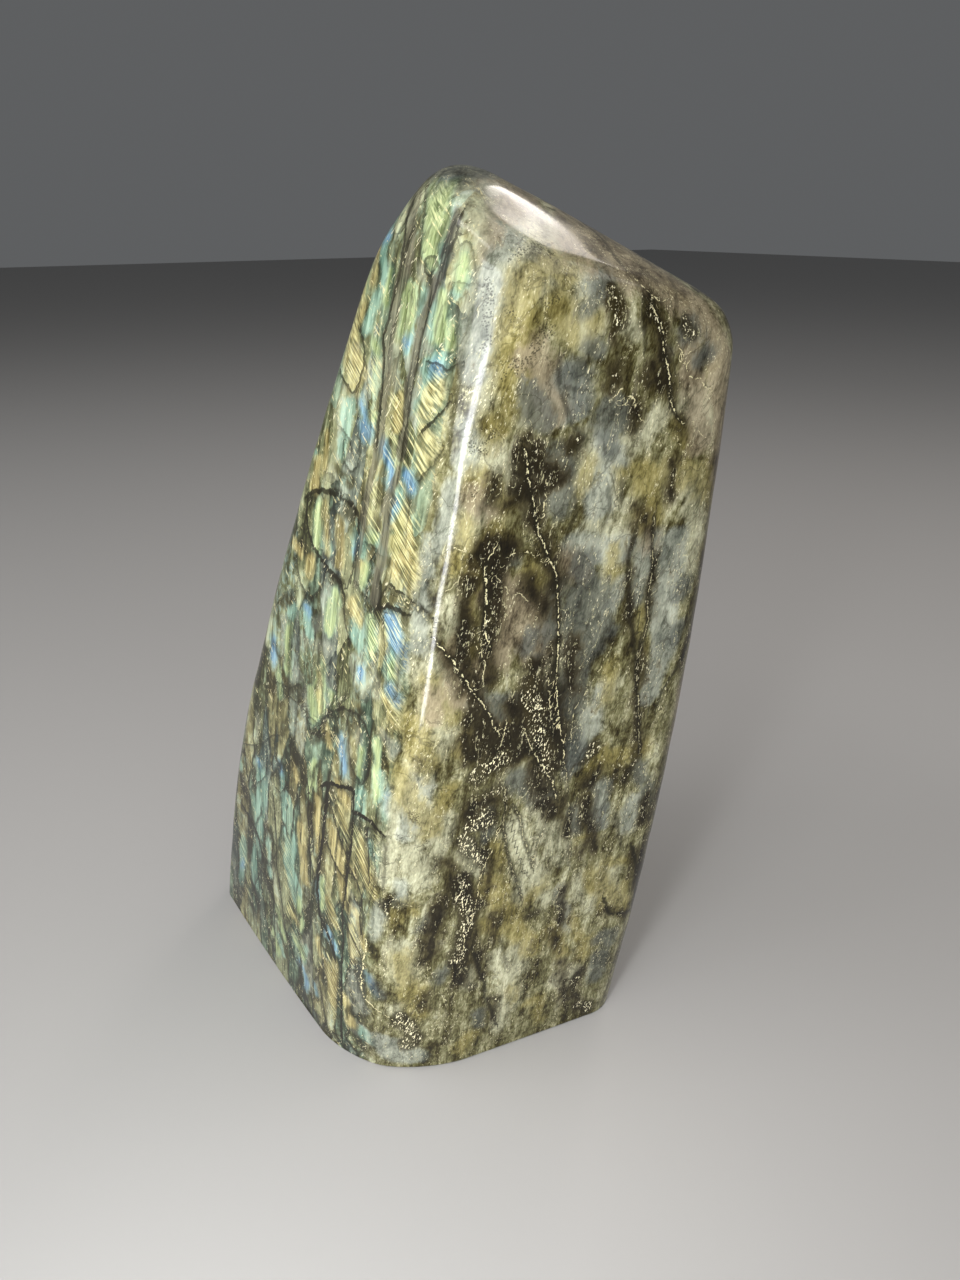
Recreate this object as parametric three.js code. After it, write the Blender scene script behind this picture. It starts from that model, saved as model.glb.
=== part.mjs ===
import * as THREE from 'three';
import { mergeVertices } from 'three/addons/utils/BufferGeometryUtils.js';

// Labradorite freeform: one polished piece of rock that stands on its flat sawn base.
// It was sawn to a leaning block, each face was ground with a slight crown, and the edges
// between the faces were rounded and polished.
// Millimetres, +Z up, origin in the middle of the base. The flash face looks towards -Y and
// leans back; the olive face looks towards +X and overhangs the base.

// A ground face passes through the point "at". Its outward normal faces "facing" degrees round
// from -Y towards +X and is tipped up by "tilt" degrees. "crown" is the radius of its slight
// bulge, counted from the point "from"; a face with no crown is flat.
const FLASH_FACE = { at: [0, -30.9, 0], facing: 0, tilt: 1.6, crown: 1180, from: [0, -30, 0] };
const OLIVE_FACE = { at: [39.4, -30, 0], facing: 79, tilt: -4.6, crown: 2500, from: [52, 0, 95] };
const BACK_FACE = { at: [0, 46.3, 115], facing: 180, tilt: -0.7, crown: 1280, from: [0, 44, 115] };
const LEFT_LOWER = { at: [-83.3, 0, 10], facing: -90, tilt: -2 };
const LEFT_UPPER = { at: [-44.7, -26, 48], facing: -85, tilt: 24.8 };
const LEFT_SHOULDER = { at: [-6.7, -5, 188], facing: -70, tilt: 58.3 };
const FOOT_FACET = { at: [34.1, -22.1, 0], facing: 41, tilt: -14.3 };

// The tip is cut by four facets: a long slope down to the back, a small one over the flash
// face, a bevel over the olive face and a narrow one at its far corner.
const TOP_SLOPE = { at: [41, -5, 203.3], facing: 176, tilt: 62.1 };
const TIP_FACET = { at: [33, -3, 197.8], facing: -5, tilt: 45 };
const TOP_BEVEL = { at: [57, -12.5, 183.8], facing: 82, tilt: 50.1 };
const CORNER_FACET = { at: [62, 20, 177.8], facing: 108.3, tilt: 54.6 };

// Radii of the rounded edges. The front edge, between the flash and olive faces, widens to its
// upper radius between two heights below the tip.
const LEFT_BELLY_RADIUS = 60;
const SHOULDER_RADIUS = 22;
const FRONT_EDGE_RADIUS = 8;
const FRONT_EDGE_UPPER_RADIUS = 14;
const FRONT_EDGE_WIDENS_FROM = 150;
const FRONT_EDGE_WIDENS_TO = 180;
const FOOT_RADIUS = 7;
const BACK_EDGE_RADIUS = 10;
const LEFT_EDGE_RADIUS = 8;
const TIP_RADIUS = 8;
const TOP_RADIUS = 5;
const BASE_RIM_RADIUS = 1;

// The skin is measured outwards from a leaning axis inside the stone: level up to the height of
// the shoulder, then fanned upwards to the tip.
const AXIS_LEAN = 0.22;
const AXIS_BACK = 5;
const SHOULDER_HEIGHT = 140;
const FURTHEST = 160;
const AROUND = 80;
const FOOT_HEIGHTS = [0, 0.3, 1];
const SIDE_ROWS = 25;
const TIP_ROWS = 31;
const HALVINGS = 34;

// The points of a row are shared out half by length and half by turning, so that they crowd
// round the edges. The sharing is worked out on this many even steps.
const TRIAL_STEPS = 360;

const POLISHED_LABRADORITE = { color: 0x7b8265, roughness: 0.18, metalness: 0 };

function groundFace( { at, facing, tilt, crown, from } ) {

	const round = THREE.MathUtils.degToRad( facing );
	const up = THREE.MathUtils.degToRad( tilt );
	const normal = new THREE.Vector3(
		Math.sin( round ) * Math.cos( up ),
		- Math.cos( round ) * Math.cos( up ),
		Math.sin( up )
	);
	const point = new THREE.Vector3( ...at );
	const plane = new THREE.Plane().setFromNormalAndCoplanarPoint( normal, point );
	if ( ! crown ) return ( p ) => plane.distanceToPoint( p );

	const axis = new THREE.Line3( new THREE.Vector3( ...from ), new THREE.Vector3( ...from ).add( normal ) );
	const foot = new THREE.Vector3();
	return ( p ) => {

		axis.closestPointToPoint( p, false, foot );
		return plane.distanceToPoint( p ) + foot.distanceToSquared( p ) / ( 2 * crown );

	};

}

// Two faces meeting in an edge of the given radius. Values are distances, negative inside.
function roundedEdge( a, b, radius ) {

	const pastA = Math.max( a + radius, 0 );
	const pastB = Math.max( b + radius, 0 );
	return Math.min( Math.max( a, b ), - radius ) + Math.hypot( pastA, pastB );

}

const flashFace = groundFace( FLASH_FACE );
const oliveFace = groundFace( OLIVE_FACE );
const backFace = groundFace( BACK_FACE );
const leftLower = groundFace( LEFT_LOWER );
const leftUpper = groundFace( LEFT_UPPER );
const leftShoulder = groundFace( LEFT_SHOULDER );
const footFacet = groundFace( FOOT_FACET );
const topSlope = groundFace( TOP_SLOPE );
const tipFacet = groundFace( TIP_FACET );
const topBevel = groundFace( TOP_BEVEL );
const cornerFacet = groundFace( CORNER_FACET );

function distanceToSkin( p ) {

	let left = roundedEdge( leftLower( p ), leftUpper( p ), LEFT_BELLY_RADIUS );
	left = roundedEdge( left, leftShoulder( p ), SHOULDER_RADIUS );

	const widened = THREE.MathUtils.inverseLerp( FRONT_EDGE_WIDENS_FROM, FRONT_EDGE_WIDENS_TO, p.z );
	const frontRadius = THREE.MathUtils.lerp(
		FRONT_EDGE_RADIUS,
		FRONT_EDGE_UPPER_RADIUS,
		THREE.MathUtils.clamp( widened, 0, 1 )
	);
	let sides = roundedEdge( flashFace( p ), oliveFace( p ), frontRadius );
	sides = roundedEdge( sides, footFacet( p ), FOOT_RADIUS );
	sides = roundedEdge( sides, backFace( p ), BACK_EDGE_RADIUS );
	sides = roundedEdge( sides, left, LEFT_EDGE_RADIUS );

	let top = roundedEdge( topSlope( p ), tipFacet( p ), TIP_RADIUS );
	top = roundedEdge( top, topBevel( p ), TOP_RADIUS );
	top = roundedEdge( top, cornerFacet( p ), TOP_RADIUS );

	const block = roundedEdge( sides, top, TOP_RADIUS );
	return roundedEdge( block, - p.z, BASE_RIM_RADIUS );

}

// Where the ray of one row and direction leaves the stone, found by halving.
function pointOnSkin( row, direction ) {

	const sideRow = row - FOOT_HEIGHTS.length + 1;
	let height = SHOULDER_HEIGHT;
	let climb = 0;
	if ( row < FOOT_HEIGHTS.length ) {

		height = FOOT_HEIGHTS[ row ];

	} else if ( sideRow <= SIDE_ROWS ) {

		height = THREE.MathUtils.mapLinear( sideRow, 0, SIDE_ROWS, FOOT_HEIGHTS.at( - 1 ), SHOULDER_HEIGHT );

	} else {

		climb = ( sideRow - SIDE_ROWS ) / TIP_ROWS * Math.PI / 2;

	}

	const start = new THREE.Vector3( AXIS_LEAN * height, AXIS_BACK, height );
	const ray = new THREE.Ray( start, new THREE.Vector3(
		Math.sin( direction ) * Math.cos( climb ),
		- Math.cos( direction ) * Math.cos( climb ),
		Math.sin( climb )
	) );
	const point = new THREE.Vector3();
	const justAboveBase = 1e-4;
	let inside = 0;
	let outside = FURTHEST;
	for ( let i = 0; i < HALVINGS; i ++ ) {

		const middle = ( inside + outside ) / 2;
		ray.at( middle, point );
		point.z = Math.max( point.z, justAboveBase );
		if ( distanceToSkin( point ) < 0 ) inside = middle;
		else outside = middle;

	}

	return ray.at( inside, point );

}

function rowOfPoints( row ) {

	const trial = [];
	for ( let i = 0; i <= TRIAL_STEPS; i ++ ) {

		trial.push( pointOnSkin( row, i / TRIAL_STEPS * 2 * Math.PI ) );

	}

	const lengths = [];
	const turns = [];
	for ( let i = 0; i < TRIAL_STEPS; i ++ ) {

		const before = trial[ ( i + TRIAL_STEPS - 1 ) % TRIAL_STEPS ];
		const step = trial[ i + 1 ].clone().sub( trial[ i ] );
		lengths.push( step.length() );
		turns.push( step.angleTo( trial[ i ].clone().sub( before ) ) );

	}

	const perimeter = lengths.reduce( ( sum, length ) => sum + length, 0 );
	const turning = turns.reduce( ( sum, turn ) => sum + turn, 0 );
	const points = [];
	let share = 0;
	for ( let i = 0; i < TRIAL_STEPS; i ++ ) {

		const next = share + ( lengths[ i ] / perimeter + turns[ i ] / turning ) / 2;
		while ( points.length < AROUND && points.length / AROUND < next ) {

			const part = ( points.length / AROUND - share ) / ( next - share );
			points.push( pointOnSkin( row, ( i + part ) / TRIAL_STEPS * 2 * Math.PI ) );

		}

		share = next;

	}

	return points;

}

// A closed cylinder of unit size, each of whose rows is pushed out to the stone's skin. The
// cylinder's own axis is Y, and its end caps become the flat base and the crest of the top.
function stoneGeometry() {

	const lastRow = FOOT_HEIGHTS.length - 1 + SIDE_ROWS + TIP_ROWS - 1;
	const skin = new THREE.CylinderGeometry( 1, 1, 1, AROUND, lastRow );
	skin.deleteAttribute( 'normal' );
	skin.deleteAttribute( 'uv' );
	const geometry = mergeVertices( skin, 1e-5 );

	const rows = [];
	for ( let row = 0; row <= lastRow; row ++ ) rows.push( rowOfPoints( row ) );

	const baseCentre = new THREE.Vector3( 0, 0, 0 );
	const crest = pointOnSkin( lastRow + 1, 0 );
	const position = geometry.attributes.position;
	const corner = new THREE.Vector3();
	for ( let i = 0; i < position.count; i ++ ) {

		corner.fromBufferAttribute( position, i );
		const row = Math.round( ( corner.y + 0.5 ) * lastRow );
		const onAxis = Math.hypot( corner.x, corner.z ) < 0.5;
		const column = Math.round( Math.atan2( corner.x, corner.z ) / ( 2 * Math.PI ) * AROUND );
		let point = rows[ row ][ ( column + AROUND ) % AROUND ];
		if ( onAxis ) point = row === 0 ? baseCentre : crest;
		position.setXYZ( i, point.x, point.y, point.z );

	}

	geometry.computeVertexNormals();
	return geometry;

}

const stone = new THREE.Mesh( stoneGeometry(), new THREE.MeshStandardMaterial( POLISHED_LABRADORITE ) );
stone.name = 'stone';

const group = new THREE.Group();
group.add( stone );

export default group;
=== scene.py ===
import math
import bpy
import numpy as np
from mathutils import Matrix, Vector
from mathutils.bvhtree import BVHTree
from mathutils.interpolate import poly_3d_calc


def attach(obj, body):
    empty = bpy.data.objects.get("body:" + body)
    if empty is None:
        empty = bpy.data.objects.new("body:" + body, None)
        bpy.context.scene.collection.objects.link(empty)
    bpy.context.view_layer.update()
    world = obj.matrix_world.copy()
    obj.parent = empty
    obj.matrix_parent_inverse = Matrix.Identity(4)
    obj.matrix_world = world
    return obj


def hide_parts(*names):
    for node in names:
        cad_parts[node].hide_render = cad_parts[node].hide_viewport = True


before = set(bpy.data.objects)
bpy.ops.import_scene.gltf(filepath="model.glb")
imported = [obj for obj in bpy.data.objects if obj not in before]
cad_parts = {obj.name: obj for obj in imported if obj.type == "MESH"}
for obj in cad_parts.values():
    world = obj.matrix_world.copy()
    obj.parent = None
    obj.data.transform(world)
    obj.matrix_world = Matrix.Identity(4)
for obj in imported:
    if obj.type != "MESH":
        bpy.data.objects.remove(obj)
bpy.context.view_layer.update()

# ---------------------------------------------------------------------------------------------
# The stone: one piece of labradorite, a feldspar rock, sawn to a leaning block that stands on its
# flat base. Each face was ground with a slight crown, the edges were rounded by hand and the
# whole was polished. Lengths are in mm, and angles in degrees.
FLASH_CROWN = 1180


def ground_face(at, facing, tilt, crown=0, about=(0, 0, 0)):
    """How far outside a face a point is. The face goes through `at`, looks `facing` round from -Y
    towards +X and `tilt` upwards, and bulges about a point with this radius of crown."""
    a, t = math.radians(facing), math.radians(tilt)
    normal = np.array([math.sin(a) * math.cos(t), -math.cos(a) * math.cos(t), math.sin(t)])

    def distance(p):
        d = (p - np.array(at)) @ normal
        if crown:
            off = p - np.array(about)
            off = off - (off @ normal)[..., None] * normal
            d = d + (off * off).sum(-1) / (2 * crown)
        return d
    return distance


def rounded_edge(a, b, radius):
    """How far outside two faces at once a point is, with the edge between them rounded."""
    past = np.hypot(np.maximum(a + radius, 0), np.maximum(b + radius, 0))
    return np.minimum(np.maximum(a, b), -radius) + past


flash_face = ground_face((0, -30.9, 0), 0, 1.6, crown=FLASH_CROWN, about=(0, -30, 0))
olive_face = ground_face((39.4, -30, 0), 79, -4.6, crown=2500, about=(52, 0, 95))
back_face = ground_face((0, 46.3, 115), 180, -0.7, crown=1280, about=(0, 44, 115))
left_lower = ground_face((-83.3, 0, 10), -90, -2)
left_upper = ground_face((-44.7, -26, 48), -85, 24.8)
left_shoulder = ground_face((-6.7, -5, 188), -70, 58.3)
foot_facet = ground_face((34.1, -22.1, 0), 41, -14.3)
top_slope = ground_face((41, -5, 203.3), 176, 62.1)
tip_facet = ground_face((33, -3, 197.8), -5, 45)
top_bevel = ground_face((57, -12.5, 183.8), 82, 50.1)
corner_facet = ground_face((62, 20, 177.8), 108.3, 54.6)

# Radii of the edges. The front edge, between the flash and olive faces, widens near the top.
FRONT_RADIUS = 8
FRONT_WIDENS_BY = 6
FRONT_WIDENS_FROM = 150
FRONT_WIDENS_OVER = 30
KNEE_RADIUS = 60
SHOULDER_RADIUS = 22
FOOT_RADIUS = 7
BACK_RADIUS = 10
LEFT_RADIUS = 8
TIP_RADIUS = 8
TOP_RADIUS = 5
BASE_RADIUS = 1


def distance_to_skin(p, widens_by):
    """How far outside the whole stone a point is, and below zero inside it."""
    widened = np.clip((p[..., 2] - FRONT_WIDENS_FROM) / FRONT_WIDENS_OVER, 0, 1)
    left = rounded_edge(left_lower(p), left_upper(p), KNEE_RADIUS)
    left = rounded_edge(left, left_shoulder(p), SHOULDER_RADIUS)
    sides = rounded_edge(flash_face(p), olive_face(p), FRONT_RADIUS + widens_by * widened)
    sides = rounded_edge(sides, foot_facet(p), FOOT_RADIUS)
    sides = rounded_edge(sides, back_face(p), BACK_RADIUS)
    sides = rounded_edge(sides, left, LEFT_RADIUS)
    top = rounded_edge(top_slope(p), tip_facet(p), TIP_RADIUS)
    top = rounded_edge(top, top_bevel(p), TOP_RADIUS)
    top = rounded_edge(top, corner_facet(p), TOP_RADIUS)
    return rounded_edge(rounded_edge(sides, top, TOP_RADIUS), -p[..., 2], BASE_RADIUS)


# The skin is laid in rows of points round a leaning axis inside the stone. The rows are level up
# to the shoulder, with a few close ones at the base edge, and from there they climb to the crest.
AROUND = 400
SHOULDER = 140.0
AXIS_LEAN = 0.22
AXIS_Y = 5.0
BEYOND_THE_SKIN = 160.0
JUST_ABOVE_BASE = 1e-4
base_rows = [0, 0.12, 0.35, 0.65, 1.0]
heights = np.concatenate([base_rows, np.linspace(BASE_RADIUS, SHOULDER, 150)[1:]])
climbs = np.linspace(0, math.pi / 2, 86)[1:-1]
row_height = np.concatenate([heights, np.full(len(climbs), SHOULDER)])[:, None]
row_climb = np.concatenate([np.zeros(len(heights)), climbs])[:, None]
rows = len(row_height)


def skin_points(direction, widens_by):
    """Where the skin is in these directions round the axis, found by halving the way to it."""
    start = [AXIS_LEAN * row_height, AXIS_Y, row_height + 0 * direction]
    start = np.stack(np.broadcast_arrays(*start), -1)
    ray = np.stack([np.sin(direction) * np.cos(row_climb), -np.cos(direction) * np.cos(row_climb),
                    np.sin(row_climb) + 0 * direction], -1)
    inside, outside = np.zeros(direction.shape), np.full(direction.shape, BEYOND_THE_SKIN)
    for _ in range(30):
        middle = (inside + outside) / 2
        p = start + ray * middle[..., None]
        p[..., 2] = np.maximum(p[..., 2], JUST_ABOVE_BASE)
        hit = distance_to_skin(p, widens_by) < 0
        inside, outside = np.where(hit, middle, inside), np.where(hit, outside, middle)
    return start + ray * inside[..., None]


def shared_out(widens_by, trial_steps=720):
    """Directions for the points of each row: shared by length, and closer where the skin turns."""
    even = np.linspace(0, 2 * math.pi, trial_steps + 1)
    p = skin_points(np.broadcast_to(even[:-1], (rows, trial_steps)), widens_by)
    step = np.roll(p, -1, 1) - p
    length = np.linalg.norm(step, axis=-1)
    way = step / length[..., None]
    turn = np.arccos(np.clip((way * np.roll(way, 1, 1)).sum(-1), -1, 1))
    length = length * (0.75 + 0.25 * np.cos(even[:-1] - math.radians(45)))
    share = 0.8 * length / length.sum(1, keepdims=True) + 0.2 * turn / turn.sum(1, keepdims=True)
    total = np.concatenate([np.zeros((len(p), 1)), np.cumsum(share, 1)], 1)
    wanted = np.arange(AROUND) / AROUND
    return np.array([np.interp(wanted, t / t[-1], even) for t in total])


def front_edge(z):
    """Where the flash and olive faces would meet at this height if the edge were sharp."""
    return 37.3 + 0.105 * z, -30.9 + 0.028 * z + z ** 2 / (2 * FLASH_CROWN)


def charted_skin(widens_by):
    """The skin's points and the u of each on its chart, with the base's middle and the crest last.
    u is the length in mm round the stone from its front edge, to the right over the olive face and
    to the left over the flash face. The chart's v is the height."""
    skin = skin_points(shared_out(widens_by), widens_by)
    edge_x, edge_y = front_edge(skin[..., 2])
    past_edge = skin[..., 0] - edge_x + skin[..., 1] - edge_y
    lengths = np.linalg.norm(np.roll(skin, -1, 1) - skin, axis=-1)
    run = np.concatenate([np.zeros((rows, 1)), np.cumsum(lengths, 1)], 1)
    across = run[:, :-1].copy()
    zero = 0.0
    for r in range(rows):
        cross = np.nonzero((past_edge[r, :-1] < 0) & (past_edge[r, 1:] >= 0))[0]
        if len(cross) and cross[0] < AROUND * 0.45:
            k = cross[0]
            t = past_edge[r, k] / (past_edge[r, k] - past_edge[r, k + 1])
            zero = run[r, k] + t * (run[r, k + 1] - run[r, k])
        across[r] -= zero
        across[r] = np.where(across[r] > run[r, -1] / 2, across[r] - run[r, -1], across[r])
    points = np.concatenate([skin.reshape(-1, 3), [[0, 0, 0]], [skin[-1].mean(0)]])
    return points, np.concatenate([across.ravel(), [-40, across[-1].mean()]])


points, u = charted_skin(FRONT_WIDENS_BY)
v = points[:, 2].copy()

# Quads between the rows, a fan of triangles under the base and a small one on the crest.
base_middle, crest = rows * AROUND, rows * AROUND + 1
ring = np.arange(AROUND)
onward = (ring + 1) % AROUND
faces = []
for r in range(rows - 1):
    a, b = r * AROUND + ring, r * AROUND + onward
    faces += np.stack([a, b, b + AROUND, a + AROUND], -1).tolist()
faces += np.stack([onward, ring, np.full(AROUND, base_middle)], -1).tolist()
last = (rows - 1) * AROUND
faces += np.stack([last + ring, last + onward, np.full(AROUND, crest)], -1).tolist()
mesh = bpy.data.meshes.new("stone_skin")
mesh.from_pydata((points * 0.001).tolist(), [], faces)
mesh.shade_smooth()
stone = bpy.data.objects.new("stone_skin", mesh)
bpy.context.scene.collection.objects.link(stone)
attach(stone, "root")
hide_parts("stone")

# Where the minerals and cracks lie on the real stone. Each mark was picked in an enlarged part of the
# camera's view: its left and top in pixels of the whole view, and its enlargement.
VIEW_WIDE = 960
VIEW_HIGH = 1280
FLASH_TOP = (340, 155, 5)
FLASH_MIDDLE = (270, 430, 5)
FLASH_FOOT = (225, 690, 4)
OLIVE_TOP = (460, 180, 5)
OLIVE_MIDDLE = (400, 440, 5)
OLIVE_FOOT = (360, 740, 5)
WHOLE = (0, 0, 1)

# A mark is half its width in mm, and then x, y, x, y and so on along it in pixels of its part.
# GOLD, LIME, TURQUOISE and BLUE are the flash: a painted sheen, the labradorescence put into the
# colour though the stone shows it only towards some angles.
GOLD = {
    FLASH_TOP: [
        (1.2, 185, 500, 165, 600), (1.8, 110, 720, 135, 790), (3.2, 70, 880, 60, 1000, 90, 1100),
        (2.5, 480, 1180, 440, 1260), (1.5, 300, 1230, 290, 1330)],
    FLASH_MIDDLE: [
        (1.8, 230, 170, 220, 280), (1, 275, 30, 270, 190), (0.9, 270, 380, 285, 600),
        (1.6, 345, 460, 350, 650), (1.8, 200, 650, 190, 720), (1.3, 120, 560, 150, 600),
        (2.5, 770, 60, 800, 120), (1.2, 740, 160, 760, 200), (2.5, 640, 460, 680, 640),
        (2, 690, 620, 720, 780), (1.5, 620, 560, 620, 700), (1.2, 450, 680, 440, 700),
        (2, 410, 880, 430, 940), (1.5, 640, 1400, 670, 1480), (1, 240, 1220, 240, 1400)],
    FLASH_FOOT: [
        (1.2, 640, 50, 680, 130), (1.3, 365, 440, 375, 640), (1, 455, 480, 480, 560),
        (0.7, 470, 640, 505, 720), (1.3, 530, 640, 585, 820), (0.8, 500, 960, 530, 1050),
        (0.8, 255, 880, 285, 930), (0.9, 405, 840, 440, 940), (1.3, 440, 1100, 430, 1230),
        (1, 275, 320, 285, 370), (1.1, 400, 150, 415, 230), (1.2, 370, 1000, 380, 1060)],
    WHOLE: [
        (2.2, 332, 830, 345, 905), (1.6, 362, 848, 372, 880), (1.6, 326, 965, 332, 1000),
        (1.2, 356, 915, 362, 945), (1.6, 338, 790, 345, 806), (2, 300, 830, 304, 880),
        (1.8, 364, 286, 358, 320), (1.3, 350, 930, 352, 958), (1.5, 344, 1000, 350, 1024),
        (1, 388, 898, 389, 916)]}
LIME = {
    FLASH_TOP: [
        (3.4, 500, 150, 480, 330), (2.2, 460, 350, 460, 480), (1.6, 345, 660, 350, 860),
        (1.6, 375, 680, 380, 840), (1.7, 530, 700, 510, 900), (1.2, 555, 900, 550, 960),
        (1, 255, 560, 245, 740), (1.5, 600, 540, 600, 620), (0.8, 180, 1310, 175, 1360),
        (1, 205, 920, 205, 1000)],
    FLASH_MIDDLE: [
        (1, 520, 500, 510, 540), (1.5, 440, 740, 470, 700), (1.5, 640, 480, 620, 600),
        (2.2, 300, 920, 290, 990), (1.5, 330, 850, 320, 820), (1.6, 90, 1000, 80, 1200),
        (2.4, 245, 1250, 240, 1380), (1, 600, 1180, 610, 1240), (1, 500, 960, 510, 1100),
        (1.4, 240, 400, 230, 560)],
    FLASH_FOOT: [
        (1.8, 340, 20, 350, 110), (1.2, 420, 10, 430, 60), (0.9, 600, 320, 600, 440),
        (1.2, 355, 300, 350, 380), (1, 280, 1000, 310, 1060), (1.3, 210, 900, 240, 1000),
        (1, 180, 950, 210, 1040), (1, 540, 240, 530, 330)],
    WHOLE: [
        (1.8, 368, 264, 354, 322), (1.1, 321, 666, 322, 690), (1, 278, 676, 279, 694),
        (1.1, 376, 740, 377, 764), (1, 310, 770, 309, 794), (1.2, 298, 903, 300, 927),
        (1.1, 321, 883, 322, 907)]}
TURQUOISE = {
    FLASH_TOP: [
        (1.4, 225, 450, 220, 620), (1.6, 200, 700, 170, 860), (0.8, 430, 660, 425, 780),
        (0.8, 490, 760, 485, 900), (1, 570, 690, 590, 720), (1.2, 525, 470, 500, 540),
        (1, 380, 880, 370, 950), (2, 440, 1080, 500, 1060), (1.2, 10, 1300, 20, 1340),
        (1.3, 260, 300, 220, 400), (1, 440, 1130, 400, 1250), (1.2, 600, 600, 620, 640)],
    FLASH_MIDDLE: [
        (1, 230, 100, 225, 140), (1.1, 430, 520, 420, 640), (1.4, 470, 580, 450, 640),
        (1, 290, 590, 260, 530), (1.2, 640, 330, 620, 420), (1, 540, 560, 550, 600),
        (1.4, 500, 1000, 495, 1120), (1.2, 600, 1130, 580, 1200), (1, 680, 1240, 690, 1300),
        (1.3, 630, 1370, 650, 1390), (1.8, 180, 960, 200, 1020), (1.8, 420, 1000, 440, 1040),
        (1.5, 100, 920, 120, 900)],
    FLASH_FOOT: [
        (0.9, 75, 110, 70, 180), (1, 60, 250, 60, 300), (1, 225, 350, 225, 390),
        (3.2, 240, 450, 260, 640), (3, 250, 700, 280, 820), (1.8, 70, 600, 60, 760),
        (1.3, 615, 340, 625, 500), (1.8, 540, 420, 535, 480), (0.8, 440, 1020, 455, 1070),
        (1, 110, 440, 130, 500), (1, 170, 600, 180, 750), (1, 320, 1040, 315, 1080),
        (1, 215, 1000, 230, 1060), (1.2, 580, 620, 595, 720), (2.5, 560, 1380, 640, 1430)],
    WHOLE: [
        (3, 262, 780, 255, 880), (2, 350, 405, 341, 445)]}
BLUE = {
    FLASH_TOP: [
        (1.3, 110, 1330, 130, 1390), (0.9, 110, 1240, 115, 1300), (0.7, 350, 920, 370, 940),
        (1, 240, 400, 215, 430), (0.8, 620, 60, 640, 80), (1, 205, 1450, 212, 1500),
        (1, 470, 1070, 500, 1090)],
    FLASH_MIDDLE: [
        (1.3, 470, 0, 500, 20), (1, 565, 120, 590, 200, 598, 290), (1.5, 680, 240, 700, 290),
        (0.8, 615, 370, 610, 420), (0.7, 430, 560, 425, 620), (2.2, 600, 950, 630, 1080),
        (1.5, 680, 1120, 690, 1180), (1.2, 590, 1280, 600, 1320), (1.6, 10, 1060, 15, 1150),
        (1, 170, 880, 190, 930), (1, 450, 1200, 440, 1240)],
    FLASH_FOOT: [
        (1.5, 465, 220, 470, 310), (0.8, 130, 280, 140, 310), (1.3, 215, 290, 220, 330),
        (1.2, 660, 20, 690, 60), (0.9, 400, 970, 430, 1040), (0.8, 310, 1120, 320, 1200),
        (0.6, 360, 1180, 365, 1220), (0.9, 70, 680, 60, 720), (0.6, 370, 820, 365, 760),
        (0.7, 640, 440, 650, 500)],
    WHOLE: [
        (1, 328, 930, 336, 952), (1.5, 370, 978, 378, 998), (1.2, 300, 966, 306, 984)]}
BANDS = {
    FLASH_TOP: [
        (1.7, 378, 195, 350, 280, 345, 380, 328, 480),
        (1.3, 328, 480, 308, 620, 298, 720, 285, 820, 272, 920),
        (1.4, 272, 920, 252, 1060, 238, 1160, 215, 1300, 195, 1430, 185, 1500),
        (1.1, 600, 285, 565, 390, 530, 500, 495, 620, 468, 740),
        (1.3, 468, 740, 438, 860, 400, 1000, 370, 1120, 342, 1260, 318, 1400, 305, 1500)],
    FLASH_MIDDLE: [
        (1.2, 500, 230, 480, 340, 460, 450, 448, 530),
        (1.3, 630, 220, 600, 330, 580, 430, 572, 540, 555, 650, 532, 750, 520, 850)],
    WHOLE: [
        (1.1, 377, 452, 370, 478), (0.9, 360, 534, 355, 584)]}
HATCHED = {
    FLASH_TOP: [
        (2.8, 70, 900, 90, 1080), (2, 190, 1080, 180, 1330), (2.2, 290, 1230, 260, 1480),
        (3, 460, 1180, 430, 1330), (3, 480, 1400, 470, 1480), (1.5, 500, 170, 480, 300)],
    FLASH_MIDDLE: [
        (3, 720, 60, 740, 180), (2, 520, 330, 510, 520), (3.2, 640, 400, 660, 560),
        (3, 700, 520, 700, 760), (2.5, 640, 640, 680, 780), (3, 600, 960, 600, 1180),
        (2, 520, 960, 510, 1150), (2, 680, 1080, 670, 1200), (2, 440, 840, 440, 930),
        (2, 620, 1240, 650, 1400), (1.5, 640, 1400, 670, 1480)],
    FLASH_FOOT: [
        (2, 640, 40, 690, 140), (1.8, 450, 480, 480, 580), (2.5, 530, 620, 580, 820),
        (1.5, 620, 600, 610, 700), (2, 400, 820, 440, 940), (2, 420, 1080, 420, 1300),
        (3, 240, 620, 260, 900), (1.2, 500, 930, 530, 1060), (2, 60, 540, 90, 800),
        (2, 270, 960, 310, 1050)],
    WHOLE: [
        (2, 362, 300, 352, 370)]}
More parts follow.
